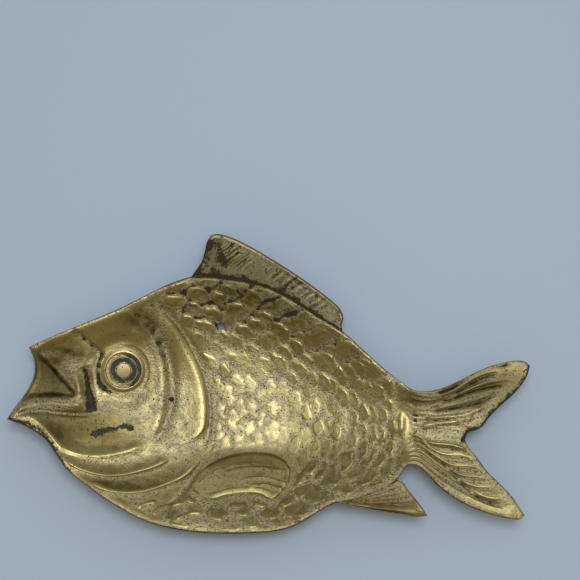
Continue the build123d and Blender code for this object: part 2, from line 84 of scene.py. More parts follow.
pupil_radius = 3.0
pupil_height = 1.5
eye_ring_radius = 5.3
socket_ring_radius = 7.8
socket_ring_half_width = 1.1
eye_seat_margin = 1.6
eye_seat_blend = 5.0

print("rim height in mm:", rim_height)

# %% [markdown]
# ## Outline curves
#
# Each curve is a short list of points, written as shares of the dish's length and width, and
# drawn. Spline fitting would give hundreds of points that nobody can read or change, so
# a smooth curve is run through a few good points instead.

# %% Outline of the head and the gill cover
mouth_edge_shares = [
    (0.000, 0.375), (0.025, 0.452), (0.038, 0.495), (0.045, 0.535), (0.045, 0.570),
    (0.038, 0.615),
]
forehead_shares = [
    (0.038, 0.615), (0.070, 0.642), (0.116, 0.676), (0.162, 0.709), (0.213, 0.747),
]
jaw_shares = [
    (0.000, 0.375), (0.010, 0.368), (0.025, 0.360), (0.044, 0.344), (0.074, 0.308),
    (0.095, 0.258),
]
plate_groove_shares = [
    (0.095, 0.258), (0.139, 0.253), (0.196, 0.249), (0.248, 0.276), (0.280, 0.338),
    (0.295, 0.435), (0.294, 0.548), (0.274, 0.652), (0.236, 0.724), (0.213, 0.747),
]
nape_shares = [(0.213, 0.747), (0.236, 0.768), (0.259, 0.788)]
throat_shares = [
    (0.095, 0.258), (0.116, 0.211), (0.139, 0.177), (0.162, 0.147), (0.185, 0.119),
    (0.215, 0.087), (0.246, 0.057), (0.272, 0.038),
]
gill_groove_shares = [
    (0.272, 0.038), (0.324, 0.117), (0.368, 0.241), (0.384, 0.375), (0.377, 0.492),
    (0.349, 0.612), (0.309, 0.721), (0.286, 0.761), (0.259, 0.788),
]

# %% Outline of the flank and the tail
back_shares = [
    (0.259, 0.788), (0.299, 0.823), (0.322, 0.839), (0.349, 0.853), (0.387, 0.853),
    (0.425, 0.844), (0.463, 0.834), (0.497, 0.816), (0.530, 0.789), (0.596, 0.717),
    (0.642, 0.667), (0.688, 0.595), (0.733, 0.525), (0.756, 0.495),
]
belly_shares = [
    (0.272, 0.038), (0.301, 0.023), (0.349, 0.008), (0.406, 0.001), (0.463, 0.002),
    (0.510, 0.008), (0.543, 0.022), (0.570, 0.045), (0.592, 0.070), (0.615, 0.092),
    (0.638, 0.105), (0.663, 0.114), (0.691, 0.130), (0.720, 0.151), (0.742, 0.175),
    (0.754, 0.204),
]
root_lower_shares = [(0.754, 0.204), (0.761, 0.250), (0.764, 0.291), (0.764, 0.341)]
root_upper_shares = [(0.764, 0.341), (0.762, 0.408), (0.758, 0.458), (0.756, 0.495)]
tail_top_shares = [
    (0.756, 0.495), (0.771, 0.475), (0.789, 0.467), (0.810, 0.468), (0.832, 0.478),
    (0.859, 0.498), (0.890, 0.525), (0.920, 0.548), (0.949, 0.562), (0.973, 0.569),
    (0.992, 0.564), (1.000, 0.552),
]
tail_bottom_shares = [
    (0.754, 0.204), (0.761, 0.221), (0.773, 0.226), (0.787, 0.217), (0.802, 0.192),
    (0.819, 0.159), (0.840, 0.129), (0.867, 0.100), (0.901, 0.074), (0.933, 0.057),
    (0.958, 0.048), (0.975, 0.048), (0.983, 0.060),
]
tail_rib_shares = [(0.764, 0.341), (0.796, 0.331), (0.834, 0.321), (0.874, 0.311)]
fork_lower_shares = [
    (0.983, 0.060), (0.962, 0.117), (0.939, 0.161), (0.914, 0.204), (0.895, 0.251),
    (0.884, 0.274), (0.875, 0.298), (0.874, 0.311),
]
fork_upper_shares = [
    (0.874, 0.311), (0.882, 0.333), (0.895, 0.339), (0.907, 0.351), (0.920, 0.380),
    (0.943, 0.420), (0.966, 0.455), (0.985, 0.492), (0.996, 0.525), (1.000, 0.552),
]

# %% Outlines of the fins
dorsal_base_shares = [(0.349, 0.853), (0.641, 0.668)]
dorsal_front_shares = [
    (0.349, 0.853), (0.358, 0.876), (0.368, 0.903), (0.375, 0.943), (0.379, 0.973),
    (0.385, 0.993),
]
dorsal_top_shares = [
    (0.385, 0.993), (0.392, 0.998), (0.408, 0.997), (0.429, 0.985), (0.459, 0.960),
    (0.505, 0.913), (0.550, 0.863), (0.596, 0.806), (0.623, 0.768), (0.636, 0.746),
    (0.642, 0.726),
]
dorsal_rear_shares = [(0.641, 0.668), (0.640, 0.689), (0.643, 0.709), (0.642, 0.726)]
anal_base_shares = [(0.630, 0.102), (0.742, 0.175)]
anal_front_shares = [(0.634, 0.0975), (0.630, 0.102)]
anal_bottom_shares = [
    (0.634, 0.0975), (0.657, 0.092), (0.691, 0.080), (0.749, 0.064), (0.787, 0.055),
    (0.800, 0.059),
]
anal_rear_shares = [
    (0.800, 0.059), (0.787, 0.092), (0.773, 0.124), (0.763, 0.145), (0.754, 0.167),
    (0.742, 0.175),
]
pectoral_top_shares = [
    (0.349, 0.161), (0.364, 0.197), (0.383, 0.227), (0.410, 0.251), (0.444, 0.266),
    (0.478, 0.269), (0.509, 0.261), (0.531, 0.239), (0.541, 0.212),
]
pectoral_bottom_shares = [
    (0.356, 0.140), (0.375, 0.117), (0.392, 0.109), (0.415, 0.119), (0.444, 0.127),
    (0.472, 0.127), (0.491, 0.120), (0.505, 0.109),
]
pectoral_root_shares = [(0.356, 0.140), (0.351, 0.151), (0.349, 0.161)]
pectoral_tip_shares = [
    (0.505, 0.109), (0.518, 0.127), (0.531, 0.154), (0.539, 0.184), (0.541, 0.212),
]

# %% [markdown]
# ## Carved lines
#
# The head has no texture to speak of. It lives from long, soft lines: the roll round the cheek,
# two folds under the jaw, the gill cover's rear edge, and the mouth. They could be edges of the
# mesh, but then each change would ask for a new mesh. So each is one curve here, and the mesh
# rises or sinks along it.

# %% Lines of the mouth and the jaw
mouth_upper_shares = [
    (0.038, 0.615), (0.069, 0.582), (0.086, 0.548), (0.105, 0.512), (0.133, 0.452),
]
mouth_lower_shares = [
    (0.000, 0.375), (0.013, 0.415), (0.029, 0.433), (0.053, 0.441), (0.082, 0.446),
    (0.110, 0.440), (0.133, 0.452),
]
brow_shares = [(0.055, 0.594), (0.074, 0.601), (0.099, 0.598), (0.119, 0.582), (0.136, 0.555)]
upper_lip_shares = [
    (0.078, 0.579), (0.091, 0.569), (0.107, 0.548), (0.120, 0.522), (0.130, 0.488), (0.133, 0.455),
]
lower_lip_shares = [
    (0.011, 0.395), (0.025, 0.411), (0.048, 0.423), (0.074, 0.428), (0.101, 0.425),
    (0.124, 0.421), (0.147, 0.418),
]
lip_groove_shares = [
    (0.013, 0.383), (0.029, 0.395), (0.051, 0.403), (0.082, 0.400), (0.110, 0.395), (0.162, 0.395),
]
mouth_corner_shares = [(0.139, 0.555), (0.145, 0.515), (0.149, 0.475), (0.154, 0.438), (0.150, 0.405)]
corner_ridge_shares = [(0.124, 0.528), (0.130, 0.488), (0.131, 0.448), (0.124, 0.418)]
jaw_roll_shares = [
    (0.013, 0.400), (0.032, 0.393), (0.051, 0.378), (0.069, 0.355), (0.086, 0.318),
    (0.101, 0.291), (0.120, 0.273), (0.147, 0.259), (0.177, 0.256), (0.211, 0.264),
    (0.242, 0.281), (0.269, 0.304),
]

# %% Lines of the cheek and the gill cover
crease_shares = [(0.116, 0.682), (0.137, 0.654), (0.154, 0.627), (0.171, 0.602), (0.189, 0.579)]
eye_crescent_shares = [(0.175, 0.589), (0.169, 0.559), (0.169, 0.522), (0.175, 0.488), (0.183, 0.468)]
cheek_shares = [
    (0.230, 0.676), (0.253, 0.619), (0.267, 0.542), (0.269, 0.468), (0.259, 0.401), (0.236, 0.348),
]
plate_roll_shares = [
    (0.269, 0.304), (0.282, 0.351), (0.290, 0.415), (0.292, 0.488), (0.288, 0.569),
    (0.276, 0.635), (0.257, 0.686), (0.234, 0.721), (0.213, 0.742),
]
gill_valley_shares = [
    (0.238, 0.729), (0.269, 0.696), (0.291, 0.639), (0.305, 0.562), (0.310, 0.482),
    (0.306, 0.408), (0.291, 0.341), (0.269, 0.284),
]
gill_roll_shares = [
    (0.262, 0.769), (0.284, 0.746), (0.305, 0.709), (0.324, 0.666), (0.342, 0.619),
    (0.358, 0.562), (0.370, 0.505), (0.375, 0.448), (0.376, 0.391), (0.371, 0.348),
    (0.355, 0.318), (0.333, 0.303), (0.310, 0.288),
]
fold_one_shares = [
    (0.101, 0.247), (0.124, 0.227), (0.149, 0.207), (0.177, 0.194), (0.215, 0.192),
    (0.253, 0.206), (0.284, 0.224), (0.314, 0.251),
]
fold_two_shares = [
    (0.147, 0.174), (0.168, 0.157), (0.192, 0.144), (0.227, 0.135), (0.263, 0.140),
    (0.301, 0.161), (0.331, 0.184), (0.354, 0.214), (0.373, 0.261), (0.385, 0.321),
]
throat_mark_shares = [
    [(0.250, 0.087), (0.267, 0.100), (0.286, 0.104)],
    [(0.278, 0.064), (0.297, 0.087), (0.320, 0.097), (0.341, 0.100)],
    [(0.322, 0.047), (0.349, 0.067), (0.375, 0.070)],
]

# %% Lines of the tail
root_step_shares = [(0.750, 0.412), (0.753, 0.361), (0.748, 0.308)]
tail_rib_lines = [
    [(0.787, 0.351), (0.821, 0.358), (0.859, 0.368), (0.893, 0.378)],
    [(0.783, 0.301), (0.817, 0.296), (0.848, 0.288), (0.880, 0.274)],
    [(0.794, 0.378), (0.829, 0.380), (0.863, 0.386), (0.916, 0.415)],
]
tail_groove_lines = [
    [(0.764, 0.428), (0.806, 0.425), (0.842, 0.445), (0.874, 0.478), (0.905, 0.508), (0.943, 0.528)],
    [(0.802, 0.405), (0.842, 0.435), (0.882, 0.462), (0.922, 0.478), (0.958, 0.488)],
    [(0.806, 0.398), (0.861, 0.411), (0.901, 0.428), (0.939, 0.462)],
    [(0.813, 0.455), (0.851, 0.478), (0.888, 0.522), (0.928, 0.550), (0.971, 0.555)],
    [(0.783, 0.281), (0.821, 0.241), (0.850, 0.194), (0.876, 0.147), (0.905, 0.110), (0.947, 0.084)],
]
tail_roll_shares = [
    (0.794, 0.211), (0.832, 0.161), (0.861, 0.122), (0.901, 0.085), (0.941, 0.064), (0.975, 0.060),
]

# %% Lines of the pectoral fin, and how deep the bowl is from nose to tail
leaf_ray_lines = [
    [(0.364, 0.161), (0.379, 0.184), (0.396, 0.199)],
    [(0.410, 0.197), (0.436, 0.212), (0.467, 0.219), (0.497, 0.216), (0.531, 0.204)],
    [(0.440, 0.172), (0.467, 0.184), (0.493, 0.184), (0.537, 0.162)],
    [(0.459, 0.157), (0.493, 0.161), (0.528, 0.144)],
]
leaf_ridge_shares = [
    (0.385, 0.117), (0.406, 0.127), (0.432, 0.139), (0.463, 0.142), (0.486, 0.132), (0.505, 0.114),
]
depth_shares = [
    (0.000, 0.06), (0.045, 0.34), (0.140, 0.62), (0.270, 0.88), (0.370, 0.97),
    (0.430, 1.00), (0.560, 1.00), (0.640, 0.80), (0.720, 0.48), (0.765, 0.30),
    (0.840, 0.14), (1.000, 0.06),
]
mouth_roof_shares = [(0.000, 0.600), (0.038, 0.615)]
nail_hole_shares = (0.406, 0.692)
eye_shares = (0.216, 0.542)

# %% [markdown]
# ## Curves and patches
#
# A curve through a few points can be a Blender curve object, but a mesh that has to follow four
# of them at once is easier to place with a little arithmetic. A Coons patch blends four border
# curves, so every grid below fits its neighbours along their common border.

# %% Curve helpers
plan_size = np.array((dish_length, dish_width))
line_steps = 90


def place(shares):
    """Millimetre positions of points that are given as shares of the dish."""
    return np.asarray(shares, float) * plan_size - plan_size / 2


def smooth_line(points, steps):
    """Points at even steps along a smooth curve through the given points."""
    points = np.asarray(points, float)
    chords = np.diff(points, axis=0)
    lengths = np.linalg.norm(chords, axis=1)
    knots = np.concatenate(([0], np.cumsum(lengths)))
    slopes = chords / lengths[:, None]
    before, after = lengths[:-1, None], lengths[1:, None]
    middle = (slopes[:-1] * after + slopes[1:] * before) / (before + after)
    tangents = np.vstack((slopes[:1], middle, slopes[-1:]))
    walk = np.linspace(0, knots[-1], steps)
    piece = np.clip(np.searchsorted(knots, walk, side="right") - 1, 0, len(lengths) - 1)
    span = lengths[piece][:, None]
    t = ((walk - knots[piece]) / lengths[piece])[:, None]
    start = (2 * t**3 - 3 * t**2 + 1) * points[piece]
    finish = (3 * t**2 - 2 * t**3) * points[piece + 1]
    leave = (t**3 - 2 * t**2 + t) * span * tangents[piece]
    arrive = (t**3 - t**2) * span * tangents[piece + 1]
    return start + finish + leave + arrive


def line(shares, steps=line_steps + 1):
    """A carved or outline curve in millimetres."""
    return smooth_line(place(shares), steps)


# %% Coons patch helpers
def along(path, share):
    """Points of a path at shares of its length."""
    rows = np.linspace(0, 1, len(path))
    return np.column_stack([np.interp(share, rows, path[:, axis]) for axis in (0, 1)])


def patch_points(borders, u, v):
    """Plan points at shares u along and v across a patch with bottom, top, left and right borders."""
    bottom, top, left, right = borders
    u, v = u[:, None], v[:, None]
    edges = (1 - v) * along(bottom, u[:, 0]) + v * along(top, u[:, 0])
    sides = (1 - u) * along(left, v[:, 0]) + u * along(right, v[:, 0])
    near = (1 - v) * bottom[0] + v * top[0]
    far = (1 - v) * bottom[-1] + v * top[-1]
    return edges + sides - (1 - u) * near - u * far


# %% Distance helpers
def ease(t):
    """Smooth step from 0 to 1."""
    t = np.clip(t, 0, 1)
    return t * t * (3 - 2 * t)


def nearest(x, y, path):
    """Signed distance to a path, left of it positive, and how far along it as a share."""
    best = np.full(np.shape(x), np.inf)
    share, side = np.zeros(np.shape(x)), np.ones(np.shape(x))
    for step in range(len(path) - 1):
        start, run = path[step], path[step + 1] - path[step]
        t = np.clip(((x - start[0]) * run[0] + (y - start[1]) * run[1]) / (run @ run), 0, 1)
        away = np.hypot(x - start[0] - t * run[0], y - start[1] - t * run[1])
        closer = away < best
        best = np.where(closer, away, best)
        share = np.where(closer, (step + t) / (len(path) - 1), share)
        side = np.where(closer, np.sign(run[0] * (y - start[1]) - run[1] * (x - start[0])), side)
    return best * np.where(side == 0, 1, side), share


def inside_loop(x, y, loop):
    """Whether plan points lie inside a loop that ends where it starts."""
    odd = np.zeros(np.shape(x), bool)
    for (ax, ay), (bx, by) in zip(loop[:-1], loop[1:]):
        if ay != by:
            odd ^= ((ay > y) != (by > y)) & (x < ax + (y - ay) * (bx - ax) / (by - ay))
    return odd


# %% [markdown]
# ## The bowl
#
# The hollow is shallow at the nose and the tail and deepest under the middle of the body. A
# sculpted mesh would do, but the CAD solid has a plain rule for it, and the same rule here keeps
# the dressed part and the solid together. Its walls rise steeply only near the rim.

# %% Lower and upper edge of the hollow
slope_step = 0.2
smoothing_reach = 4.0
lower_edge = np.vstack([line(shares) for shares in (
    jaw_shares, throat_shares, belly_shares, tail_bottom_shares)])
upper_edge = np.vstack([place(mouth_roof_shares)] + [line(shares) for shares in (
    forehead_shares, nape_shares, back_shares, tail_top_shares)])
outer_edge = [line(shares, line_steps // 2) for shares in (
    mouth_edge_shares, forehead_shares, nape_shares, back_shares, tail_top_shares,
    fork_upper_shares, fork_lower_shares, tail_bottom_shares, belly_shares,
    throat_shares, jaw_shares)]
places_along = np.arange(-dish_length / 2, dish_length / 2 + slope_step, slope_step)
easing = np.hanning(int(smoothing_reach * 2 / slope_step) | 1)


def edge_height(edge):
    """Y of an edge at each place along the dish, with its corners eased."""
    plain = np.interp(places_along, edge[:, 0], edge[:, 1])
    padded = np.pad(plain, len(easing) // 2, mode="edge")
    return np.convolve(padded, easing / easing.sum(), mode="valid")


lower_y = edge_height(lower_edge)
upper_y = edge_height(upper_edge)
depth_line = smooth_line(np.array(depth_shares) * (dish_length, bowl_depth), line_steps * 4)
mouth_upper = line(mouth_upper_shares)
mouth_lower = line(mouth_lower_shares)
print("widest hollow in mm:", round(float((upper_y - lower_y).max()), 1))


# %% Height of the hollow with the mouth in it
def scoop(x, y, spread):
    """Depth of the mouth, spread wider behind the wall so that it bulges softly."""
    roof = np.interp(x, mouth_upper[:, 0], mouth_upper[:, 1])
    floor = np.interp(x, mouth_lower[:, 0], mouth_lower[:, 1])
    insets = (roof - y, y - floor, mouth_upper[-1][0] - x)
    return mouth_depth * np.prod(
        [ease((inset + spread) / (mouth_slope_width + spread)) for inset in insets], axis=0)


def hollow(x, y, spread=0):
    """Height of the plain bowl with the mouth scooped into it."""
    low = np.interp(x, places_along, lower_y)
    high = np.interp(x, places_along, upper_y)
    across = np.clip(2 * (y - low) / (high - low) - 1, -1, 1)
    depth = np.interp(x + dish_length / 2, depth_line[:, 0], depth_line[:, 1])
    return rim_height - depth * (1 - np.abs(across) ** wall_power) - scoop(x, y, spread)


def slopes_of(height_of, x, y, spread=0):
    """Slopes of a height field along X and along Y."""
    rise_x = height_of(x + slope_step, y, spread) - height_of(x - slope_step, y, spread)
    rise_y = height_of(x, y + slope_step, spread) - height_of(x, y - slope_step, spread)
    return rise_x / (2 * slope_step), rise_y / (2 * slope_step)


# %% [markdown]
# ## The eye's seat and the back of the wall
#
# The three rings of the eye stand on a small level place. Left on the curved bowl they would
# sink in on one side. The back is the same form again, one wall's thickness behind it.

# %% Seat, form and underside
eye_x, eye_y = place(eye_shares)
eye_z = float(hollow(eye_x, eye_y))
eye_slope_x, eye_slope_y = [float(slope) for slope in slopes_of(hollow, eye_x, eye_y)]
eye_reach = socket_ring_radius + socket_ring_half_width
eye_seat_radius = eye_reach + eye_seat_margin


def form(x, y, spread=0):
    """Height of the uncarved inside, level around the eye."""
    seat = eye_z + eye_slope_x * (x - eye_x) + eye_slope_y * (y - eye_y)
    keep = ease((np.hypot(x - eye_x, y - eye_y) - eye_seat_radius) / eye_seat_blend)
    return seat * (1 - keep) + hollow(x, y, spread) * keep


def round_over(distance, radius):
    """How far a rounded edge falls at a distance inside it."""
    short = radius - np.clip(distance, 0, radius)
    return radius - np.sqrt(radius**2 - short**2)


def edge_distance(x, y):
    """Distance to the outer edge of the body and the tail."""
    return np.min([np.abs(nearest(x, y, path)[0]) for path in outer_edge], axis=0)


def underside(x, y):
    """Height of the smooth back, rounded at the rim and ground flat where the dish stands."""
    slope_x, slope_y = slopes_of(form, x, y, mouth_back_spread)
    back = form(x, y, mouth_back_spread) - wall * np.sqrt(1 + slope_x**2 + slope_y**2)
    return np.maximum(back + round_over(edge_distance(x, y), back_radius), 0)


print("eye seat at", [round(float(value), 2) for value in (eye_x, eye_y, eye_z)])

# %% [markdown]
# ## Uneven metal
#
# Sand-cast brass that was fettled by hand is never truly smooth, and a mirror-like metal shows
# it at once. A few long, low waves in seeded directions give that, and they cost no texture.

# %% Long, low waves
wave_count = 26
wave_lengths = (5.0, 24.0)
wave_height = 0.018
waves = np.random.default_rng(7)
wave_turn = waves.uniform(0, 2 * np.pi, wave_count)
wave_start = waves.uniform(0, 2 * np.pi, wave_count)
wave_length = waves.uniform(*wave_lengths, wave_count)


def uneven(x, y):
    """A hand-finished surface's small rises and dips."""
    total = np.zeros(np.shape(x))
    for turn, start, length in zip(wave_turn, wave_start, wave_length):
        run = 2 * np.pi * (x * np.cos(turn) + y * np.sin(turn)) / length
        total += np.sin(run + start) * length / wave_lengths[1]
    return wave_height * total


# %% [markdown]
# ## Carving
#
# A fold on this fish is like a roof tile: it rises slowly toward its free edge and then drops
# off short. A sculpting brush could draw it, but its stroke can't be moved or softened later by
# one number. So each ridge is a line with its own width on either side, and a plain groove is
# the same thing turned into the metal. At the rim the metal rolls over, wide along the body and
# narrow along the tail, and no crest stands above the rim.

# %% Ridges and grooves
def ridge(x, y, shares, height, left_width, right_width=None, fade_share=0.12):
    """A rounded ridge along a line, with a width on its left and one on its right."""
    path = line(shares, line_steps // 2)
    right_width = right_width or left_width
    reach = 3 * max(left_width, right_width)
    low, high = path.min(axis=0) - reach, path.max(axis=0) + reach
    close = (x > low[0]) & (x < high[0]) & (y > low[1]) & (y < high[1])
    away, share = nearest(x[close], y[close], path)
    width = np.where(away > 0, left_width, right_width)
    raised = np.zeros(x.shape)
    raised[close] = ease(np.minimum(share, 1 - share) / fade_share) * np.exp(-((away / width) ** 2))
    return height * raised


# %% Strokes of the carving
# Each stroke is a line, its height over the plain form, and its width on the left and the right
head_strokes = [
    (brow_shares, -0.7, 1.9, 1.6), (upper_lip_shares, 0.25, 1.6, 1.6),
    (lower_lip_shares, 0.8, 1.6, 1.2), (lip_groove_shares, -0.7, 0.7, 0.9),
    (mouth_corner_shares, -1.1, 1.9, 1.7), (corner_ridge_shares, 0.35, 1.6, 1.6),
    (jaw_roll_shares, 1.0, 2.3, 1.5), (crease_shares, -0.8, 0.8, 2.2),
    (eye_crescent_shares, -0.7, 1.2, 1.2), (cheek_shares, 0.6, 3.4, 4.2),
    (plate_roll_shares, 0.7, 2.4, 1.6), (gill_valley_shares, -0.9, 2.0, 2.0),
]
gill_strokes = [
    (gill_roll_shares, 1.0, 1.1, 6.5, 0.2), (gill_groove_shares, -0.7, 1.8, 0.9),
    (fold_one_shares, 0.9, 2.6, 0.8), (fold_two_shares, 0.9, 2.6, 0.9),
] + [(mark, 0.5, 0.5, 1.0) for mark in throat_mark_shares]
tail_strokes = [(root_step_shares, 0.9, 1.7, 3.6, 0.4), (tail_roll_shares, 0.7, 1.3, 1.0)]
tail_strokes += [(rib, 0.75, 0.9, 0.8) for rib in tail_rib_lines]
tail_strokes += [(groove, -0.9, 0.8, 0.7) for groove in tail_groove_lines]
print("strokes of the carving:", len(head_strokes + gill_strokes + tail_strokes))


def carving(x, y):
    """Height of the carving over the uncarved inside, none under the eye."""
    height = sum(ridge(x, y, *stroke) for stroke in head_strokes + gill_strokes + tail_strokes)
    return height * ease((np.hypot(x - eye_x, y - eye_y) - eye_reach) / eye_seat_margin)


def below_rim(height):
    """Heights with their highest crests eased down, so that none stands above the rim."""
    over = np.clip(height - rim_height + crest_softening, 0, None)
    return height - over + crest_softening * (1 - np.exp(-over / crest_softening))


def body_front(x, y, added=0):
    """Height of the carved inside, rolled over and rounded at the rim, less so along the tail."""
    edge = edge_distance(x, y)
    on_tail = ease((x - tail_start) / tail_blend)
    roll_width = rim_roll_width * (1 - tail_roll_width_cut * on_tail)
    roll_height = rim_roll_height * (1 - tail_roll_height_cut * on_tail)
    roll = roll_height * (1 - np.clip(edge / roll_width, 0, 1)) ** 2
    carved = (carving(x, y) + uneven(x, y)) * ease(edge / roll_width)
    carved = carved + added * ease(edge / scale_edge_reach)
    return below_rim(form(x, y) + carved - roll - round_over(edge, rim_radius))


# %% [markdown]
# ## Making a cast sheet
#
# Every main piece is a closed sheet of metal. A Solidify modifier would give it a wall, but not
# a back that is smooth where the front is carved, or a foot that is ground flat. So
# `create_grid` gives the face, one extrusion gives the back and the rim between them, and then
# each vertex is set to its place. Rows crowd together at an outer edge, so that its rounding is
# smooth without a dense mesh everywhere.

# %% Helpers that place the vertices
crowd_steps = (0.06, 0.25, 0.6)


def crowd(share, count, span, at_start, at_end):
    """Even shares with three close steps at the start, at the end or at both."""
    steps = np.array(crowd_steps) / span
    index, value = [0], [0]
    if at_start:
        index, value = index + [1, 2, 3], value + list(steps)
    if at_end:
        index, value = index + [count - 3, count - 2, count - 1], value + list(1 - steps[::-1])
    return np.interp(share * count, index + [count], value + [1])


def settle(verts, points):
    """Move vertices to points given in millimetres."""
    for vert, point in zip(verts, points):
        vert.co = Vector(point) * mm


def blurred(field, reach):
    """A height field with detail finer than the reach, in grid steps, taken out."""
    kernel = np.hanning(2 * reach + 3)[1:-1]
    kernel = kernel / kernel.sum()
    for axis in (0, 1):
        field = np.apply_along_axis(
            lambda row: np.convolve(np.pad(row, reach, mode="edge"), kernel, mode="valid"), axis, field)
    return field


# %% [markdown]
# ## Where the dirt has settled, and where shade is painted
#
# On the real dish most dirt lies in the hollows, and the crests are rubbed bright. A painted
# image could say where, but here the mesh measures itself: the attribute `crest` says how far a
# vertex stands above its blurred surroundings. Two more are listed. The first is for dirt that
# sits where it likes, as at the corner of the mouth and round the eye, and for painted shade
# along the rim, under the jaw, in the forehead crease, in the nail hole and toward and under the
# back. The second is for the brown film that nobody has rubbed off, and for painted brown shade
# in the mouth, under the brow and along the cheek plate's upper edge.

# %% Stains and painted shade
# Each place is a share of length and width, its reach across and up in mm, and its strength
# Most places are stains. The row along the forehead crease, from (0.124, 0.670) to (0.174, 0.600), is
# painted shadow of the fold, and the place at the nail hole, (0.406, 0.692), is painted shade in the
# hole.
stain_and_shade_places = [
    (0.141, 0.548, 0.7, 1.5, 1.0), (0.145, 0.518, 1.1, 2.3, 1.0), (0.148, 0.485, 1.6, 2.2, 0.9),
    (0.151, 0.455, 2.5, 2.6, 0.9), (0.156, 0.424, 3.4, 2.7, 0.9), (0.147, 0.408, 2.6, 0.9, 0.6),
    (0.103, 0.234, 2.0, 2.6, 0.6), (0.117, 0.204, 1.8, 2.6, 0.5),
    (0.162, 0.408, 1.6, 1.2, 0.6), (0.162, 0.320, 2.2, 1.6, 1.0), (0.172, 0.335, 3.0, 1.6, 1.0),
    (0.188, 0.344, 2.4, 1.2, 1.0), (0.202, 0.348, 1.8, 0.8, 1.0), (0.213, 0.353, 1.6, 1.2, 1.0),
    (0.225, 0.362, 2.0, 2.0, 1.0), (0.231, 0.347, 1.6, 1.3, 1.0), (0.174, 0.585, 1.0, 1.3, 1.0),
    (0.170, 0.562, 1.2, 1.7, 1.0), (0.167, 0.532, 1.4, 1.9, 1.0), (0.169, 0.505, 1.5, 1.7, 1.0),
    (0.178, 0.485, 2.2, 1.8, 1.1), (0.188, 0.470, 1.6, 1.2, 1.0), (0.309, 0.448, 0.9, 0.9, 0.8),
    (0.321, 0.440, 1.0, 0.8, 0.7), (0.341, 0.443, 1.3, 1.3, 0.7), (0.272, 0.676, 1.4, 1.8, 0.5),
    (0.284, 0.642, 2.0, 3.0, 0.5), (0.291, 0.605, 2.0, 3.0, 0.45), (0.299, 0.569, 1.8, 3.0, 0.4),
    (0.303, 0.525, 1.4, 3.0, 0.35), (0.305, 0.482, 1.2, 3.0, 0.3), (0.556, 0.445, 2.4, 1.8, 0.6),
    (0.124, 0.670, 1.2, 1.4, 0.6), (0.141, 0.646, 1.4, 1.4, 0.65), (0.157, 0.622, 1.4, 1.4, 0.65),
    (0.174, 0.600, 1.4, 1.4, 0.6), (0.240, 0.720, 2.6, 1.6, 0.45), (0.262, 0.692, 2.2, 2.2, 0.45),
    (0.359, 0.868, 1.8, 2.4, 0.55), (0.370, 0.905, 2.0, 3.2, 0.55), (0.380, 0.955, 2.2, 3.2, 0.5),
    (0.406, 0.692, 2.0, 2.0, 0.6), (0.665, 0.120, 5.0, 3.0, -0.7), (0.715, 0.152, 5.0, 3.0, -0.7),
    (0.398, 0.960, 6.0, 4.0, 0.22), (0.410, 0.905, 4.0, 4.0, 0.2), (0.812, 0.330, 5.0, 1.8, 0.4),
    (0.880, 0.470, 18.0, 6.0, 0.3), (0.960, 0.530, 8.0, 4.0, 0.25),
    (0.777, 0.290, 2.6, 2.6, 0.5), (0.777, 0.390, 2.6, 3.0, 0.5), (0.776, 0.345, 2.2, 4.0, 0.5),
    (0.374, 0.700, 1.6, 1.6, 0.5),
    (0.350, 0.750, 2.6, 2.6, 0.4), (0.300, 0.800, 3.0, 2.2, 0.45), (0.372, 0.535, 1.0, 1.6, 0.6),
    (0.404, 0.440, 0.8, 1.6, 0.7), (0.268, 0.310, 2.2, 1.4, 0.5),
]

# %% Places under a dull film, and places of painted brown shade, listed like the stains
# The places in the mouth, at (0.065, 0.520), under the brow, at (0.104, 0.596) and (0.096, 0.575), and
# along the cheek plate's upper edge, from (0.240, 0.712) to (0.284, 0.640), are painted shade, strong
# enough to turn the colour dark brown. Most of the rest is a dull film.
dull_and_shade_places = [
    (0.065, 0.520, 12.0, 9.0, 1.5), (0.108, 0.490, 7.0, 6.0, 0.5), (0.070, 0.462, 9.0, 2.4, 0.6),
    (0.440, 0.900, 20.0, 7.0, 0.6), (0.500, 0.850, 16.0, 6.0, 0.4), (0.390, 0.940, 8.0, 9.0, 0.7),
    (0.445, 0.250, 18.0, 3.5, 0.8),
    (0.104, 0.596, 7.0, 1.8, 1.2), (0.096, 0.575, 4.0, 1.8, 0.7), (0.240, 0.712, 5.0, 3.0, 0.9),
    (0.266, 0.684, 2.6, 4.0, 0.9), (0.284, 0.640, 2.2, 5.0, 0.7),
    (0.150, 0.365, 17.0, 7.0, 1.0), (0.105, 0.335, 8.0, 5.0, 0.5), (0.210, 0.310, 12.0, 4.0, 0.6),
    (0.100, 0.650, 8.0, 2.4, 0.3), (0.285, 0.230, 9.0, 3.0, 0.45), (0.440, 0.190, 22.0, 10.0, 0.8),
    (0.215, 0.170, 22.0, 5.0, 0.9), (0.300, 0.700, 5.0, 8.0, 0.3), (0.500, 0.730, 34.0, 14.0, 0.6),
    (0.400, 0.790, 16.0, 7.0, 0.4), (0.780, 0.430, 6.0, 4.0, 0.6), (0.850, 0.450, 16.0, 7.0, 0.8),
    (0.660, 0.230, 30.0, 12.0, 0.8), (0.725, 0.105, 16.0, 7.0, 0.7), (0.745, 0.080, 18.0, 4.0, 0.7),
    (0.870, 0.200, 18.0, 8.0, 0.5), (0.440, 0.230, 20.0, 4.0, 0.2), (0.280, 0.120, 20.0, 8.0, 0.4),
    (0.940, 0.500, 16.0, 9.0, 0.9), (0.940, 0.100, 12.0, 8.0, 0.4), (0.450, 0.060, 34.0, 8.0, 0.6),
]

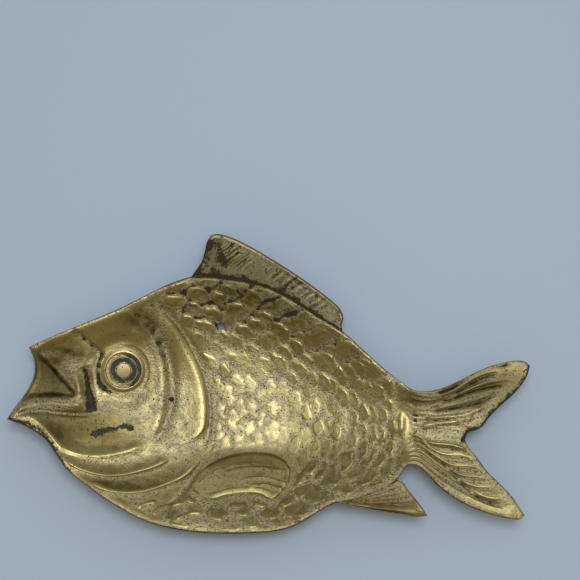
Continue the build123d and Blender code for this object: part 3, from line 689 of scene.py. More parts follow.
# %% Places that hands have rubbed, and places that stayed sandy
rubbed_places = [
    (0.070, 0.515, 12.0, 8.0, 0.6), (0.165, 0.330, 17.0, 8.0, 0.6), (0.200, 0.660, 14.0, 7.0, 0.6),
    (0.250, 0.560, 5.0, 9.0, 0.4), (0.330, 0.600, 6.0, 12.0, 0.7), (0.215, 0.210, 16.0, 3.0, 0.4),
    (0.215, 0.155, 16.0, 2.0, 0.3), (0.300, 0.230, 8.0, 4.0, 0.5), (0.780, 0.470, 7.0, 3.5, 0.6),
    (0.785, 0.240, 6.0, 3.0, 0.7), (0.100, 0.660, 6.0, 3.0, 0.4), (0.355, 0.440, 4.5, 12.0, 0.7),
    (0.758, 0.355, 2.4, 5.0, 1.4),
]
sandy_places = [
    (0.300, 0.045, 8.0, 2.8, 0.6), (0.360, 0.028, 9.0, 2.8, 0.6), (0.430, 0.020, 9.0, 2.8, 0.6),
    (0.500, 0.028, 9.0, 2.8, 0.6), (0.560, 0.055, 6.0, 2.8, 0.6), (0.610, 0.095, 5.0, 2.2, 0.6),
    (0.665, 0.120, 6.0, 2.0, 0.6), (0.715, 0.154, 5.0, 2.0, 0.6), (0.330, 0.835, 6.0, 2.4, 1.0),
    (0.385, 0.845, 6.0, 2.4, 1.2), (0.440, 0.830, 6.0, 2.6, 1.2), (0.490, 0.808, 6.0, 3.0, 1.2),
    (0.535, 0.770, 5.0, 4.0, 1.2), (0.580, 0.725, 5.0, 4.0, 1.0),
    (0.080, 0.425, 11.0, 2.2, 1.2), (0.109, 0.540, 5.0, 5.0, 1.2), (0.200, 0.415, 12.0, 4.0, 0.5),
    (0.250, 0.430, 6.0, 9.0, 0.3), (0.334, 0.450, 5.0, 18.0, 0.5),
    (0.160, 0.480, 2.0, 7.0, 0.4), (0.300, 0.420, 3.0, 14.0, 1.0), (0.285, 0.640, 3.0, 8.0, 0.8),
    (0.395, 0.380, 3.0, 20.0, 0.8), (0.350, 0.270, 4.0, 4.0, 0.6), (0.480, 0.420, 20.0, 7.0, 0.3),
    (0.870, 0.400, 22.0, 12.0, 0.8), (0.880, 0.170, 18.0, 10.0, 0.5), (0.725, 0.105, 16.0, 7.0, 0.6),
]
print("stained, dull, rubbed and sandy places:",
      [len(places) for places in (stain_and_shade_places, dull_and_shade_places, rubbed_places, sandy_places)])

# %% Painted shade along the jaw's edge and toward and under the back, dirt round the eye, and a darkened fork edge
# Each line has its reach in mm and its strength
stain_steps = line_steps // 2 + 1
# The jaw's line is painted shade along the jaw's rolled edge; the other darkens the upper lobe's edge
# at the fork.
shade_and_stain_lines = [
    (line(jaw_shares, stain_steps), 3.0, 0.95), (line(fork_upper_shares, stain_steps), 1.8, 1.0)]
# Each ring is dark between two distances from the eye's middle, and fades over the number
# that follows each
pupil_dirt_ring = (3.0, 0.2, 5.1, 0.3)
socket_dirt_ring = (5.0, 0.2, 7.6, 0.5)
crescent_ring = (5.5, 0.3, 7.0, 0.4)
pupil_dirt, socket_dirt = 1.15, 0.5
crescent_dirt, crescent_swing, crescent_turn = 0.3, 0.5, np.radians(10)
# Each change is how much, where it starts and over how much, backward where that is negative
# Painted shade: darker toward the back, lighter again just under the back's rim, and a band of shade
# further inside that rim.
back_shade = (0.35, -5.0, 45.0)
clean_under_rim = (0.8, -4.0, 2.0)
under_back_shade = (0.2, -17.0, 12.0)
under_back_end = (1.0, -2.0, -2.0)
back_line = line(back_shares)


def change(value, amount, start, span):
    """A smooth change by an amount, from a start and over a span."""
    return amount * ease((value - start) / span)


def gathered(x, y, places):
    """How strongly a list of soft oval places covers each plan point."""
    total = np.zeros(np.shape(x))
    for share_x, share_y, across, up, strength in places:
        centre = place((share_x, share_y))
        total += strength * np.exp(-((x - centre[0]) / across) ** 2 - ((y - centre[1]) / up) ** 2)
    return total


def dirt_ring(from_eye, near, near_fade, far, far_fade):
    """A ring of dirt between two distances from the eye's middle."""
    return ease((from_eye - near) / near_fade) * ease((far - from_eye) / far_fade)


def stains_and_shade(x, y):
    """Dirt and painted shade: the listed places and lines, dark rings round the eye, and painted shade
    toward and under the back.
    """
    from_eye = np.hypot(x - eye_x, y - eye_y)
    rearward = np.cos(np.arctan2(y - eye_y, x - eye_x) - crescent_turn)
    eye_dirt = pupil_dirt * dirt_ring(from_eye, *pupil_dirt_ring)
    eye_dirt += socket_dirt * dirt_ring(from_eye, *socket_dirt_ring)
    eye_dirt += (crescent_dirt + crescent_swing * rearward) * dirt_ring(from_eye, *crescent_ring)
    # Painted shade toward the back and in a band inside the back's rim.
    to_back = nearest(x, y, back_line)[0]
    shade_under_back = change(to_back, *under_back_shade) * change(to_back, *under_back_end)
    shade_toward_back = change(y, *back_shade) * (1 - change(to_back, *clean_under_rim) * (to_back < 0))
    total = gathered(x, y, stain_and_shade_places) + shade_toward_back + shade_under_back + eye_dirt
    for path, reach, strength in shade_and_stain_lines:
        total += strength * np.exp(-(nearest(x, y, path)[0] / reach) ** 2)
    return total


# %% What the material has to know of each vertex
crest_reach = 8
rub_weight = 0.2
# Painted shade along the outer edge, also over the whole back and side wall.
edge_shade = 0.6
edge_shade_width = 0.6


def surface_marks(x, y, relief, column, row):
    """Crest, dirt with painted shade, and dull film with painted shade, of the front's vertices, whose
    relief is a grid.
    """
    rim = edge_distance(x, y)
    raised = (relief - blurred(relief, crest_reach))[column, row]
    worked = gathered(x, y, rubbed_places) - gathered(x, y, sandy_places)
    worked += ease(rim / rim_roll_width) - 1
    rim_shade = edge_shade * (1 - ease(rim / edge_shade_width))
    return raised + rub_weight * worked, stains_and_shade(x, y) + rim_shade, gathered(x, y, dull_and_shade_places)


# %% Cast sheet
# Crowded says whether rows crowd together at a patch's start, end, bottom and top
def cast_sheet(borders, columns, rows, front_of, back_of, crowded):
    """A closed sheet of metal over a patch, with its crests and hollows kept for the material."""
    bm = bmesh.new()
    crest, grime_and_shade, dull_and_shade = [bm.verts.layers.float.new(kind) for kind in ("crest", "grime_and_shade", "dull_and_shade")]
    bmesh.ops.create_grid(bm, x_segments=columns, y_segments=rows, size=1)
    front = bm.verts[:]
    extruded = bmesh.ops.extrude_face_region(bm, geom=bm.faces[:])
    back = [item for item in extruded["geom"] if isinstance(item, bmesh.types.BMVert)]
    start, end, low, high = crowded
    length, height = [
        np.linalg.norm(np.diff(border, axis=0), axis=1).sum() for border in (borders[0], borders[2])]
    for verts, height_of in ((front, front_of), (back, back_of)):
        even = np.array([vert.co[:2] for vert in verts]) / 2 + 0.5
        u = crowd(even[:, 0], columns, length, start, end)
        v = crowd(even[:, 1], rows, height, low, high)
        plan = patch_points(borders, u, v)
        x, y = plan.T
        z = height_of(x, y, u, v)
        if verts is front:
            column, row = np.rint(even * (columns, rows)).astype(int).T
            relief = np.zeros((columns + 1, rows + 1))
            relief[column, row] = z - form(x, y)
            for vert, marks in zip(verts, zip(*surface_marks(x, y, relief, column, row))):
                vert[crest], vert[grime_and_shade], vert[dull_and_shade] = [float(mark) for mark in marks]
        else:
            # The back and the side wall carry the edge's painted shade.
            for vert in verts:
                vert[grime_and_shade] = edge_shade
        settle(verts, np.column_stack((plan, z)))
    bmesh.ops.recalc_face_normals(bm, faces=bm.faces[:])
    return bm


# %% Finished piece
sharp_angle = np.radians(55)


def finish_piece(bm, name, material):
    """Turn a bmesh into the piece that stands for the CAD node of the same name."""
    mesh = bpy.data.meshes.new(name + "_cast")
    bm.to_mesh(mesh)
    bm.free()
    piece = bpy.data.objects.new(name + "_cast", mesh)
    bpy.context.scene.collection.objects.link(piece)
    mesh.shade_smooth()
    mesh.set_sharp_from_angle(angle=sharp_angle)
    mesh.materials.append(material)
    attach(piece, "root")
    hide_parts(name)
    triangles = sum(len(face.vertices) - 2 for face in mesh.polygons)
    print(name, "triangles:", triangles)
    return piece


# %% [markdown]
# ## Brass
#
# The finish is old brass: bright and straw-coloured where hands have rubbed it, olive where it
# has dulled, dark brown to blue-black where dirt sits in the grooves, and grainy all over from
# the sand. The same browns and blue-black also stand for painted shade: along the rim, under
# the jaw, in the mouth, under the brow and toward the back. Separate materials for clean and
# dirty metal would meet at hard edges, so one material carries it all. It reads `crest` and two
# attributes for dirt, dull film and painted shade, and blends with noise between them, and wear
# and dirt follow the real forms. The darkened fin is the same finish, less worn.

# %% Node helper
def put(tree, kind, inputs=None, **settings):
    """Add a shader node with its settings, and with values or links in its inputs."""
    made = tree.nodes.new(kind)
    for name, value in settings.items():
        setattr(made, name, value)
    for key, value in (inputs or {}).items():
        if isinstance(value, bpy.types.NodeSocket):
            tree.links.new(value, made.inputs[key])
        else:
            made.inputs[key].default_value = value
    return made


def remap(tree, value, from_low, from_high, to_low=0.0, to_high=1.0):
    """A value stretched from one range to another and kept inside it."""
    return put(tree, "ShaderNodeMapRange", {
        "Value": value, "From Min": from_low, "From Max": from_high,
        "To Min": to_low, "To Max": to_high}).outputs["Result"]


def sum_of(tree, first, second, operation="ADD"):
    """Two values added, or joined by another operation."""
    return put(tree, "ShaderNodeMath", {0: first, 1: second}, operation=operation).outputs[0]


def blend(tree, share, first, second):
    """Two colours mixed by a share."""
    return put(tree, "ShaderNodeMix", {"Factor": share, "A": first, "B": second},
               data_type="RGBA").outputs["Result"]


# %% Colours of the metal, its dirt and its painted shade
rubbed_brass = (0.38, 0.313, 0.128)
sandy_brass = (0.57, 0.485, 0.275)
sandy_pit_brass = (0.15, 0.116, 0.058)
tarnished_brass = (0.165, 0.127, 0.043)
# Dark brown of the painted shade in the mouth, under the brow and along the cheek plate's edge
painted_shade_brown = (0.045, 0.032, 0.013)
dark_rubbed_brass = (0.25, 0.212, 0.110)
dark_sandy_brass = (0.31, 0.265, 0.155)
# Brown and blue-black of dirt; both also carry painted shade, brown along the rim, the crease, the nail
# hole and toward the back, blue-black where shade marks pile up along the jaw's edge.
brown_dirt_and_shade = (0.050, 0.034, 0.016)
blue_black_dirt_and_shade = (0.055, 0.061, 0.059)


def shade_of(colour, share=1.0):
    """A colour made darker or lighter, ready for a colour socket."""
    return tuple(share * channel for channel in colour) + (1,)


# %% Noises and attributes that the finish reads
# Each scale is so many lumps to the metre. Below, a remap says at which value of a noise or an
# attribute an effect starts, at which it is full, and how weak and how strong it is there.
mottle_scale = 60
patch_scale = 350
grain_scale = 1600
pit_scale = 1000
noise_range = (0.3, 0.7)


def noise(tree, coords, scale, detail=4):
    """Soft noise with so many lumps to the metre."""
    made = put(tree, "ShaderNodeTexNoise", {"Vector": coords, "Scale": scale, "Detail": detail})
    return made.outputs["Fac"]


def pits(tree, coords, mottle):
    """Small scattered casting pits, one in some cells of a cell pattern."""
    cells = put(tree, "ShaderNodeTexVoronoi", {"Vector": coords, "Scale": pit_scale})
    lot = put(tree, "ShaderNodeSeparateColor", {"Color": cells.outputs["Color"]}).outputs["Red"]
    chance = sum_of(tree, lot, remap(tree, mottle, 0.4, 0.65, -0.12, 0.1))
    return sum_of(tree, remap(tree, cells.outputs["Distance"], 0.2, 0.34, 1, 0),
                  remap(tree, chance, 0.86, 0.88), "MULTIPLY")


def marks_of(tree):
    """All that the finish depends on, by name."""
    coords = put(tree, "ShaderNodeTexCoord").outputs["Object"]
    marks = {kind: put(tree, "ShaderNodeAttribute", attribute_name=kind).outputs["Fac"]
             for kind in ("crest", "grime_and_shade", "dull_and_shade")}
    marks["mottle"] = noise(tree, coords, mottle_scale)
    marks["patchy"] = noise(tree, coords, patch_scale, 5)
    marks["grain"] = noise(tree, coords, grain_scale)
    marks["pits"] = pits(tree, coords, marks["mottle"])
    marks["ragged"] = sum_of(tree, remap(tree, marks["patchy"], *noise_range, -0.07, 0.07),
                             remap(tree, marks["mottle"], *noise_range, -0.05, 0.05))
    return marks


# %% Metal: straw where rubbed, grainy where sandy, olive under the dull film, dark brown where shade is painted
def metal_and_painted_shade(tree, marks, polished, sandy):
    """Colour of the metal without its dirt, dark brown where shade is painted into the dull film."""
    patchy, ragged, rubbed = marks["patchy"], marks["ragged"], marks["rubbed"]
    grit = blend(tree, remap(tree, patchy, 0.35, 0.65), shade_of(sandy, 0.8), shade_of(sandy, 1.15))
    gritty = blend(tree, remap(tree, marks["grain"], 0.36, 0.54), shade_of(sandy_pit_brass), grit)
    worn = blend(tree, remap(tree, patchy, *noise_range),
                 shade_of(polished, 0.92), shade_of(polished, 1.04))
    metal = blend(tree, rubbed, gritty, worn)
    dulled_and_shaded = sum_of(tree, marks["dull_and_shade"], sum_of(tree, ragged, ragged))
    dulled_and_shaded = sum_of(tree, dulled_and_shaded, remap(tree, rubbed, 0, 1, 0.35, 1), "MULTIPLY")
    dulled_and_shaded = sum_of(tree, dulled_and_shaded, remap(tree, marks["crest"], 0.14, 0.36), "SUBTRACT")
    metal = blend(tree, remap(tree, dulled_and_shaded, 0.05, 0.95), metal, shade_of(tarnished_brass))
    # Past 0.9 the dull film turns into painted brown shade
    return blend(tree, remap(tree, dulled_and_shaded, 0.9, 1.9), metal, shade_of(painted_shade_brown))


# %% Dirt and painted shade: in hollows, in stains, in the shade marks and in casting pits
def soiling_and_shade(tree, marks, dirt_and_shade_level):
    """How far dirt and painted shade hide the metal."""
    speckle = sum_of(tree, remap(tree, marks["patchy"], *noise_range, -0.1, 0.7),
                     remap(tree, marks["grain"], *noise_range, -0.1, 0.5))
    depth_of_dirt_and_shade = sum_of(tree, remap(tree, marks["crest"], 0.0, -0.55, 0, 0.9), marks["grime_and_shade"])
    soiled = remap(tree, sum_of(tree, speckle, depth_of_dirt_and_shade), dirt_and_shade_level, dirt_and_shade_level + 0.3)
    return sum_of(tree, soiled, marks["pits"], "MAXIMUM")


# %% Smoothness: burnished crests, sandy hollows, matt dirt and painted shade
grain_depth = 0.26 * mm


def roughness(tree, marks):
    """Low on rubbed metal, higher on sandy metal, on dirt and painted shade, and under the dull film.
    """
    smooth = remap(tree, marks["grain"], *noise_range, 0.30, 0.40)
    sand = remap(tree, marks["grain"], *noise_range, 0.46, 0.62)
    rough = put(tree, "ShaderNodeMix", {
        "Factor": marks["rubbed"], "A": sand, "B": smooth}).outputs["Result"]
    rough = sum_of(tree, rough, remap(tree, marks["soiled"], 0, 1, 0, 0.2))
    return sum_of(tree, rough, remap(tree, marks["dull_and_shade"], 0.2, 1, 0, 0.14))


def grain_normal(tree, marks):
    """The sand's grain as a bump that rubbing takes off."""
    relief = sum_of(tree, marks["grain"], remap(tree, marks["rubbed"], 0, 1, 1, 0.12), "MULTIPLY")
    bump = put(tree, "ShaderNodeBump", {"Height": relief, "Strength": 1.0, "Distance": grain_depth})
    return bump.outputs["Normal"]


# %% Cast brass material
def cast_brass(name, polished, sandy, polish_level, dirt_and_shade_level):
    """Brass rubbed smooth on its crests and left sandy and dirty in its hollows."""
    material = bpy.data.materials.new(name)
    material.use_nodes = True
    tree = material.node_tree
    marks = marks_of(tree)
    marks["rubbed"] = remap(tree, sum_of(tree, marks["crest"], marks["ragged"]),
                            polish_level - 0.08, polish_level + 0.1)
    marks["soiled"] = soiled = soiling_and_shade(tree, marks, dirt_and_shade_level)
    # Brown for dirt and painted shade, blue-black for the heaviest dirt and the deepest painted shade
    dirt_and_shade_colour = blend(tree, remap(tree, marks["grime_and_shade"], 0.95, 1.15),
                 shade_of(brown_dirt_and_shade), shade_of(blue_black_dirt_and_shade))
    for socket, value in (
            ("Base Color", blend(tree, soiled, metal_and_painted_shade(tree, marks, polished, sandy), dirt_and_shade_colour)),
            ("Metallic", remap(tree, soiled, 0, 1, 1, 0.2)),
            ("Specular IOR Level", remap(tree, soiled, 0, 1, 0.5, 0.1)),
            ("Roughness", roughness(tree, marks)),
            ("Normal", grain_normal(tree, marks))):
        tree.links.new(value, tree.nodes["Principled BSDF"].inputs[socket])
    print(name, "shader nodes:", len(tree.nodes))
    return material


brass = cast_brass("brass_worn", rubbed_brass, sandy_brass, -0.02, 1.2)
dark_brass = cast_brass("brass_dark", dark_rubbed_brass, dark_sandy_brass, 0.02, 1.0)

# %% [markdown]
# ## Head
#
# The head runs from the open mouth to the groove behind the cheek plate. It could be sculpted,
# but all its forms follow lines, so a grid with ridges along those lines is quicker to change.

# %% Head piece
border_steps = 181
head_borders = [line(shares, border_steps) for shares in (
    jaw_shares, forehead_shares, mouth_edge_shares, plate_groove_shares)]


def head_front(x, y, u, v):
    """Height of the carved inside of the head and the gill cover."""
    return body_front(x, y)


def plain_back(x, y, u, v):
    """Height of the uncarved back."""
    return underside(x, y)


head_mesh = cast_sheet(head_borders, 200, 210, head_front, plain_back, (True, False, True, True))
head = finish_piece(head_mesh, "head", brass)

# %% Gill cover piece
gill_borders = [line(shares, border_steps) for shares in (
    throat_shares, nape_shares, plate_groove_shares, gill_groove_shares)]
gill_mesh = cast_sheet(gill_borders, 90, 230, head_front, plain_back, (False, False, True, True))
gill_cover = finish_piece(gill_mesh, "gill_cover", brass)

# %% [markdown]
# ## Flank and scales
#
# The scales are pads that overlap like shingles, each proud at its rear end. An array of equal
# copies would look machined, and a bump in the material can't throw a shadow. So the flank's
# own mesh rises in pads, which catch the light one by one. They stand in staggered stacks, and
# a seeded hand moves, turns and wears each a little. They are flattest in the middle of the
# flank, where most hands have been.

# %% Borders of the flank and of the leaf that lies on it
root_steps = 91
fin_steps = 61
flank_borders = [
    line(belly_shares, border_steps), line(back_shares, border_steps),
    line(gill_groove_shares, border_steps),
    np.vstack((line(root_lower_shares, root_steps), line(root_upper_shares, root_steps)[1:]))]
pectoral_borders = [line(shares, fin_steps) for shares in (
    pectoral_bottom_shares, pectoral_top_shares, pectoral_root_shares, pectoral_tip_shares)]
leaf_bottom, leaf_top, leaf_root, leaf_tip = pectoral_borders
pectoral_loop = np.vstack((leaf_bottom[:-1], leaf_tip[:-1], leaf_top[:0:-1], leaf_root[::-1]))
print("leaf's length in mm:", round(float(np.ptp(pectoral_loop[:, 0])), 1))

# %% Sizes of the scales in mm, and how they change
scale_pitch = 7.6
scale_stack = 8.4
scale_wander = 0.5
scale_turn_wander = 0.12
first_seat, seat_span = 0.02, 0.94
seat_probe = 0.03
middle_steps = 60
scale_lean, level_scale = 0.7, 0.85
rise_range, wear_range = (0.6, 1.1), (0.2, 1.5)
size_range, least_size = (0.84, 1.12), 0.9
softness_range = (0.3, 0.55)
forward_tilt, tilt_wear = 0.4, 1.3
upward_tilt, upward_level, upward_limit = 0.6, 0.4, 0.2
worn_depth, worn_share, worn_spread = 0.6, 0.47, 0.16
# Each change is how much, where it starts from the belly at 0 to the back at 1, and over how much
belly_lean = (-0.45, 0.35, -0.3)
back_rise, belly_rise, rim_drop = (0.4, 0.6, 0.3), (0.3, 0.4, -0.2), (-0.8, 0.12, -0.1)
back_growth, belly_growth = (0.2, 0.35, 0.4), (0.12, 0.35, -0.15)
# The same from the gill at 0 to the tail at 1
worn_end = (1.0, 0.85, -0.3)
hand = np.random.default_rng(11)


# %% Scale layout
def flank_point(u, v):
    """One plan point of the flank."""
    return patch_points(flank_borders, np.array([u]), np.array([v]))[0]


def scale_seat(u, v):
    """A scale's centre, direction, size, rise, softness and the two tilts of its top."""
    above = flank_point(u, min(v + seat_probe, 1)) - flank_point(u, max(v - seat_probe, 0))
    here = flank_point(u, v) + hand.normal(0, scale_wander, 2)
    lean = scale_lean * (2 * v - level_scale) + change(v, *belly_lean)
    turn = np.arctan2(-above[0], above[1]) + lean + hand.normal(0, scale_turn_wander)
    worn = worn_depth * np.exp(-((v - worn_share) / worn_spread) ** 2) * change(u, *worn_end)
    rise = hand.uniform(*rise_range) * (1 - worn * hand.uniform(*wear_range))
    rise *= (1 + change(v, *back_rise)) * (1 + change(v, *belly_rise) + change(v, *rim_drop))
    size = least_size + change(v, *back_growth) + change(v, *belly_growth)
    size *= hand.uniform(*size_range)
    softness = hand.uniform(*softness_range)
    forward = forward_tilt * (1 - tilt_wear * worn)
    upward = np.clip(upward_tilt * (v - upward_level), -upward_limit, upward_limit)
    return (*here, turn, size, rise, softness, forward, upward)


def scale_seats():
    """Every scale, in staggered stacks from gill to tail."""
    seats = []
    middle = patch_points(flank_borders, np.linspace(0, 1, middle_steps), np.full(middle_steps, 0.5))
    length = np.linalg.norm(np.diff(middle, axis=0), axis=1).sum()
    stack_count = int(length / (scale_pitch / 2))
    for stack_number in range(1, stack_count):
        u, stagger = stack_number / stack_count, stack_number % 2
        height = np.linalg.norm(flank_point(u, 1) - flank_point(u, 0))
        seat_count = int(round(height / scale_stack))
        for seat in range(seat_count + 1 - stagger):
            seats.append(scale_seat(u, first_seat + seat_span * (seat + 0.5 * stagger) / seat_count))
    return seats


scales = scale_seats()
print("scales:", len(scales))

# %% Ragged outlines of the scales
ragged_count = 14
ragged_lengths = (2.6, 7.0)
ragged_height = 0.08
ragged_places = [(0.440, 0.430, 20.0, 11.0, 1.2)]
ragged_turn = hand.uniform(0, 2 * np.pi, (ragged_count, 2))
ragged_length = hand.uniform(*ragged_lengths, ragged_count)


def ragged_shift(x, y):
    """How far the scales' outlines wander at a plan point, along X and along Y."""
    shift = np.zeros((2,) + x.shape)
    for (turn, start), length in zip(ragged_turn, ragged_length):
        run = 2 * np.pi * (x * np.cos(turn) + y * np.sin(turn)) / length
        shift += ragged_height * np.array((np.sin(run + start), np.cos(run - start)))
    return shift * (1 + gathered(x, y, ragged_places))


# %% Scale relief
scale_half_length = 5.3
scale_half_width = 3.3
scale_base = 0.6
leaf_power = 1.7
scale_fade = 2.4
leaf_gap, gill_gap, root_gap = 1.6, 1.6, 3.2
nape_reach = (2.5, 8.0, 14.0)


def scaly(x, y):
    """How fully scales stand at a plan point: none under the leaf, at the gill and at the tail."""
    leaf = np.where(inside_loop(x, y, pectoral_loop), 0, np.abs(nearest(x, y, pectoral_loop)[0]))
    gill = np.abs(nearest(x, y, flank_borders[2])[0]) + change(y, *nape_reach)
    root = np.abs(nearest(x, y, flank_borders[3])[0])
    clear = ((leaf, leaf_gap), (gill, gill_gap), (root, root_gap))
    return np.prod([ease((away - gap) / scale_fade) for away, gap in clear], axis=0)


def scale_relief(x, y):
    """Leaf-shaped pads, proud at the rear end and at the end that is nearer the rim."""
    height = np.zeros(x.shape)
    shift_x, shift_y = ragged_shift(x, y)
    for centre_x, centre_y, turn, size, rise, softness, tilt, tip in scales:
        dx, dy = x + shift_x - centre_x, y + shift_y - centre_y
        forward = (dx * np.cos(turn) + dy * np.sin(turn)) / (scale_half_width * size)
        upward = (dy * np.cos(turn) - dx * np.sin(turn)) / (scale_half_length * size)
        out = (np.abs(forward) ** leaf_power + np.abs(upward) ** leaf_power) ** (1 / leaf_power)
        bevel = np.clip((1 - out) / softness, 0, 1)
        pad = (bevel + ease(bevel)) / 2
        height = np.maximum(height, pad * rise * (scale_base + tilt * forward + tip * upward))
    return height * scaly(x, y)


def flank_front(x, y, u, v):
    """Height of the carved and scaly inside of the flank."""
    return body_front(x, y, scale_relief(x, y))


# %% Flank piece with its nail hole
def bore(bm, centre, radius):
    """Open a round hole through a sheet: drop the faces inside it, round its edge, bridge it."""
    def away(vert):
        return (Vector(vert.co[:2]) - centre).length

    doomed = [face for face in bm.faces if min(away(vert) for vert in face.verts) < radius]
    bmesh.ops.delete(bm, geom=doomed, context="FACES")
    lip = [edge for edge in bm.edges if edge.is_boundary]
    for vert in {vert for edge in lip for vert in edge.verts}:
        offset = Vector(vert.co[:2]) - centre
        vert.co.xy = centre + offset * radius / offset.length
    bmesh.ops.bridge_loops(bm, edges=lip)
    print("edges round the hole:", len(lip) // 2)


flank_mesh = cast_sheet(flank_borders, 220, 215, flank_front, plain_back, (False, False, True, True))
bore(flank_mesh, Vector(place(nail_hole_shares)) * mm, nail_hole_radius * mm)
flank = finish_piece(flank_mesh, "flank", brass)

# %% [markdown]
# ## Tail
#
# Two lobes share a middle rib. The strong ribs and grooves are strokes of the carving, because
# they curve and end where they like. A low fan of rays runs between them. Even rays would look
# machined, and drawing each would take long, so the fan's rays sway a little as they go.

# %% Fans of rays
ray_fade = 0.17
# Each fan is how far it sways, how often along and across, its rays' height and their number
lower_fan = (0.03, 9, 5, 0.3, 8)
upper_fan = (0.02, 8, 6, 0.14, 9)


def rays(u, v, height, count):
    """Even rays, so many across a piece, fading at its edges."""
    edges = ease(np.minimum(u, 1 - u) / ray_fade) * ease(np.minimum(v, 1 - v) / ray_fade)
    return height * np.cos(2 * np.pi * count * v) * edges


def fan(u, v, sway, sway_along, sway_across, height, count):
    """Rays that sway a little along a lobe."""
    return rays(u, v + sway * np.sin(sway_along * u + sway_across * v), height, count)


# %% Tail pieces
lobe_steps = 121
tail_rib, root_low, root_high, fork_low, fork_high, tail_low, tail_high = [
    line(shares, lobe_steps) for shares in (
        tail_rib_shares, root_lower_shares, root_upper_shares, fork_lower_shares,
        fork_upper_shares, tail_bottom_shares, tail_top_shares)]


def lower_lobe_front(x, y, u, v):
    """Height of the tail's lower lobe."""
    return body_front(x, y, fan(u, v, *lower_fan))


def upper_lobe_front(x, y, u, v):
    """Height of the tail's upper lobe."""
    return body_front(x, y, fan(u, v, *upper_fan))


lower_lobe_mesh = cast_sheet([tail_low, tail_rib, root_low, fork_low], 150, 90,
                             lower_lobe_front, plain_back, (False, True, True, False))
upper_lobe_mesh = cast_sheet([tail_rib, tail_high, root_high, fork_high], 150, 90,
                             upper_lobe_front, plain_back, (False, True, False, True))
tail_lower_lobe = finish_piece(lower_lobe_mesh, "tail_lower_lobe", brass)
tail_upper_lobe = finish_piece(upper_lobe_mesh, "tail_upper_lobe", brass)


# %% [markdown]
# ## Dorsal and anal fin
#
# Both fins stand outside the bowl, a little below its rim, and are nearly flat. They could be
# part of the flank's mesh, but they are nodes of their own, and their free edges need close
# rows. Their roots run a little way into the body's rounded rim, as they do in a casting. The
# dorsal fin has fine slanting cuts at its front and wide furrows behind, cut by an uneven hand.

# %% Fin helpers
fin_lip_inset = 1.0
fin_lip_width = 0.8
root_groove_width = 0.8
fin_front_radius = 0.7
fin_back_radius = 0.5
fin_unevenness = 0.5


def base_between(shares, ends_shares):
    """The stretch of the body's edge that a fin stands on, a little inside it."""
    path = line(shares, border_steps)
    first, last = [int(np.hypot(*(path - place(end)).T).argmin()) for end in ends_shares]
    run = np.gradient(path, axis=0)[first:last + 1]
    inward = np.column_stack((run[:, 1], -run[:, 0])) / np.linalg.norm(run, axis=1)[:, None]
    return path[first:last + 1], inward


def fin_sheet(borders, columns, rows, rays_of, edge_paths, base_path, crowded, lip=0, root_groove=0):
    """A level fin with rounded free edges, a lip inside them and a groove along its root."""
    def free_edge(x, y):
        return np.min([np.abs(nearest(x, y, path)[0]) for path in edge_paths], axis=0)

    def front(x, y, u, v):
        edge = free_edge(x, y)
        groove = root_groove * np.exp(-((nearest(x, y, base_path)[0] / root_groove_width) ** 2))
        raised = lip * np.exp(-(((edge - fin_lip_inset) / fin_lip_width) ** 2))
        level = rim_height - fin_drop + rays_of(x, y, u, v) - groove + raised
        return level + uneven(x, y) * fin_unevenness - round_over(edge, fin_front_radius)

    def back(x, y, u, v):
        return rim_height - fin_drop - fin_thickness + round_over(free_edge(x, y), fin_back_radius)

    return cast_sheet(borders, columns, rows, front, back, crowded)


# %% Cuts and furrows of the dorsal fin
hatch_slant = np.radians(36)
hatch_pitch = 1.32
hatch_depth = 0.42
cut_width = 0.1
# Starts and ends along the fin from front to rear and across it from root to edge, as changes
cut_start, cut_end = (1.0, 0.08, 0.05), (1.0, 0.36, -0.10)
furrow_start, furrow_end = (0.9, 0.36, 0.12), (1.0, 0.92, -0.16)
hatch_low, hatch_top, hatch_top_fade = (1.0, 0.26, 0.2), 0.86, 0.15
# The uneven hand: how far cuts sway, tremble, differ in depth and end higher or lower
hatch_sway, hatch_tremble, depth_swing, top_swing = 0.2, 0.05, 0.25, 0.1
sway_rate, tremble_rate, depth_rate, top_rate = 1.3, 1.1, 2.1, 2.6
valley_depth, valley_share, valley_spread = 0.5, 0.3, 0.22


def dorsal_rays(x, y, u, v):
    """Fine slanting cuts, wider furrows behind them, and a shallow valley along the root."""
    slant = (y * np.cos(hatch_slant) - x * np.sin(hatch_slant)) / hatch_pitch
    slant = slant + hatch_sway * np.sin(slant * sway_rate)
    slant = slant + hatch_tremble * np.sin(x * tremble_rate + y)
    cut = ease((np.cos(2 * np.pi * slant) + cut_width) / (1 + cut_width))
    cut *= 1 - depth_swing + depth_swing * np.sin(slant * depth_rate + 1)
    cut *= change(u, *cut_start) * change(u, *cut_end)
    furrow = (1 + np.cos(np.pi * slant)) / 2 * change(u, *furrow_start) * change(u, *furrow_end)
    top = hatch_top + top_swing * np.sin(slant * top_rate)
    band = change(v, *hatch_low) * ease((top - v) / hatch_top_fade)
    valley = valley_depth * np.exp(-((v - valley_share) / valley_spread) ** 2)
    return -hatch_depth * (cut + furrow) * band - valley


# %% Dorsal fin piece
dorsal_path, dorsal_inward = base_between(back_shares, dorsal_base_shares)
dorsal_base = dorsal_path + dorsal_inward * fin_root_overlap
dorsal_edges = [line(dorsal_top_shares, border_steps)] + [
    line(shares, fin_steps) for shares in (dorsal_front_shares, dorsal_rear_shares)]
dorsal_borders = [dorsal_base] + [edge.copy() for edge in dorsal_edges]
dorsal_borders[2][0], dorsal_borders[3][0] = dorsal_base[0], dorsal_base[-1]
dorsal_mesh = fin_sheet(dorsal_borders, 260, 70, dorsal_rays, dorsal_edges, dorsal_path,
                        (True, True, False, True), lip=0.3, root_groove=0.3)
dorsal_fin = finish_piece(dorsal_mesh, "dorsal_fin", dark_brass)

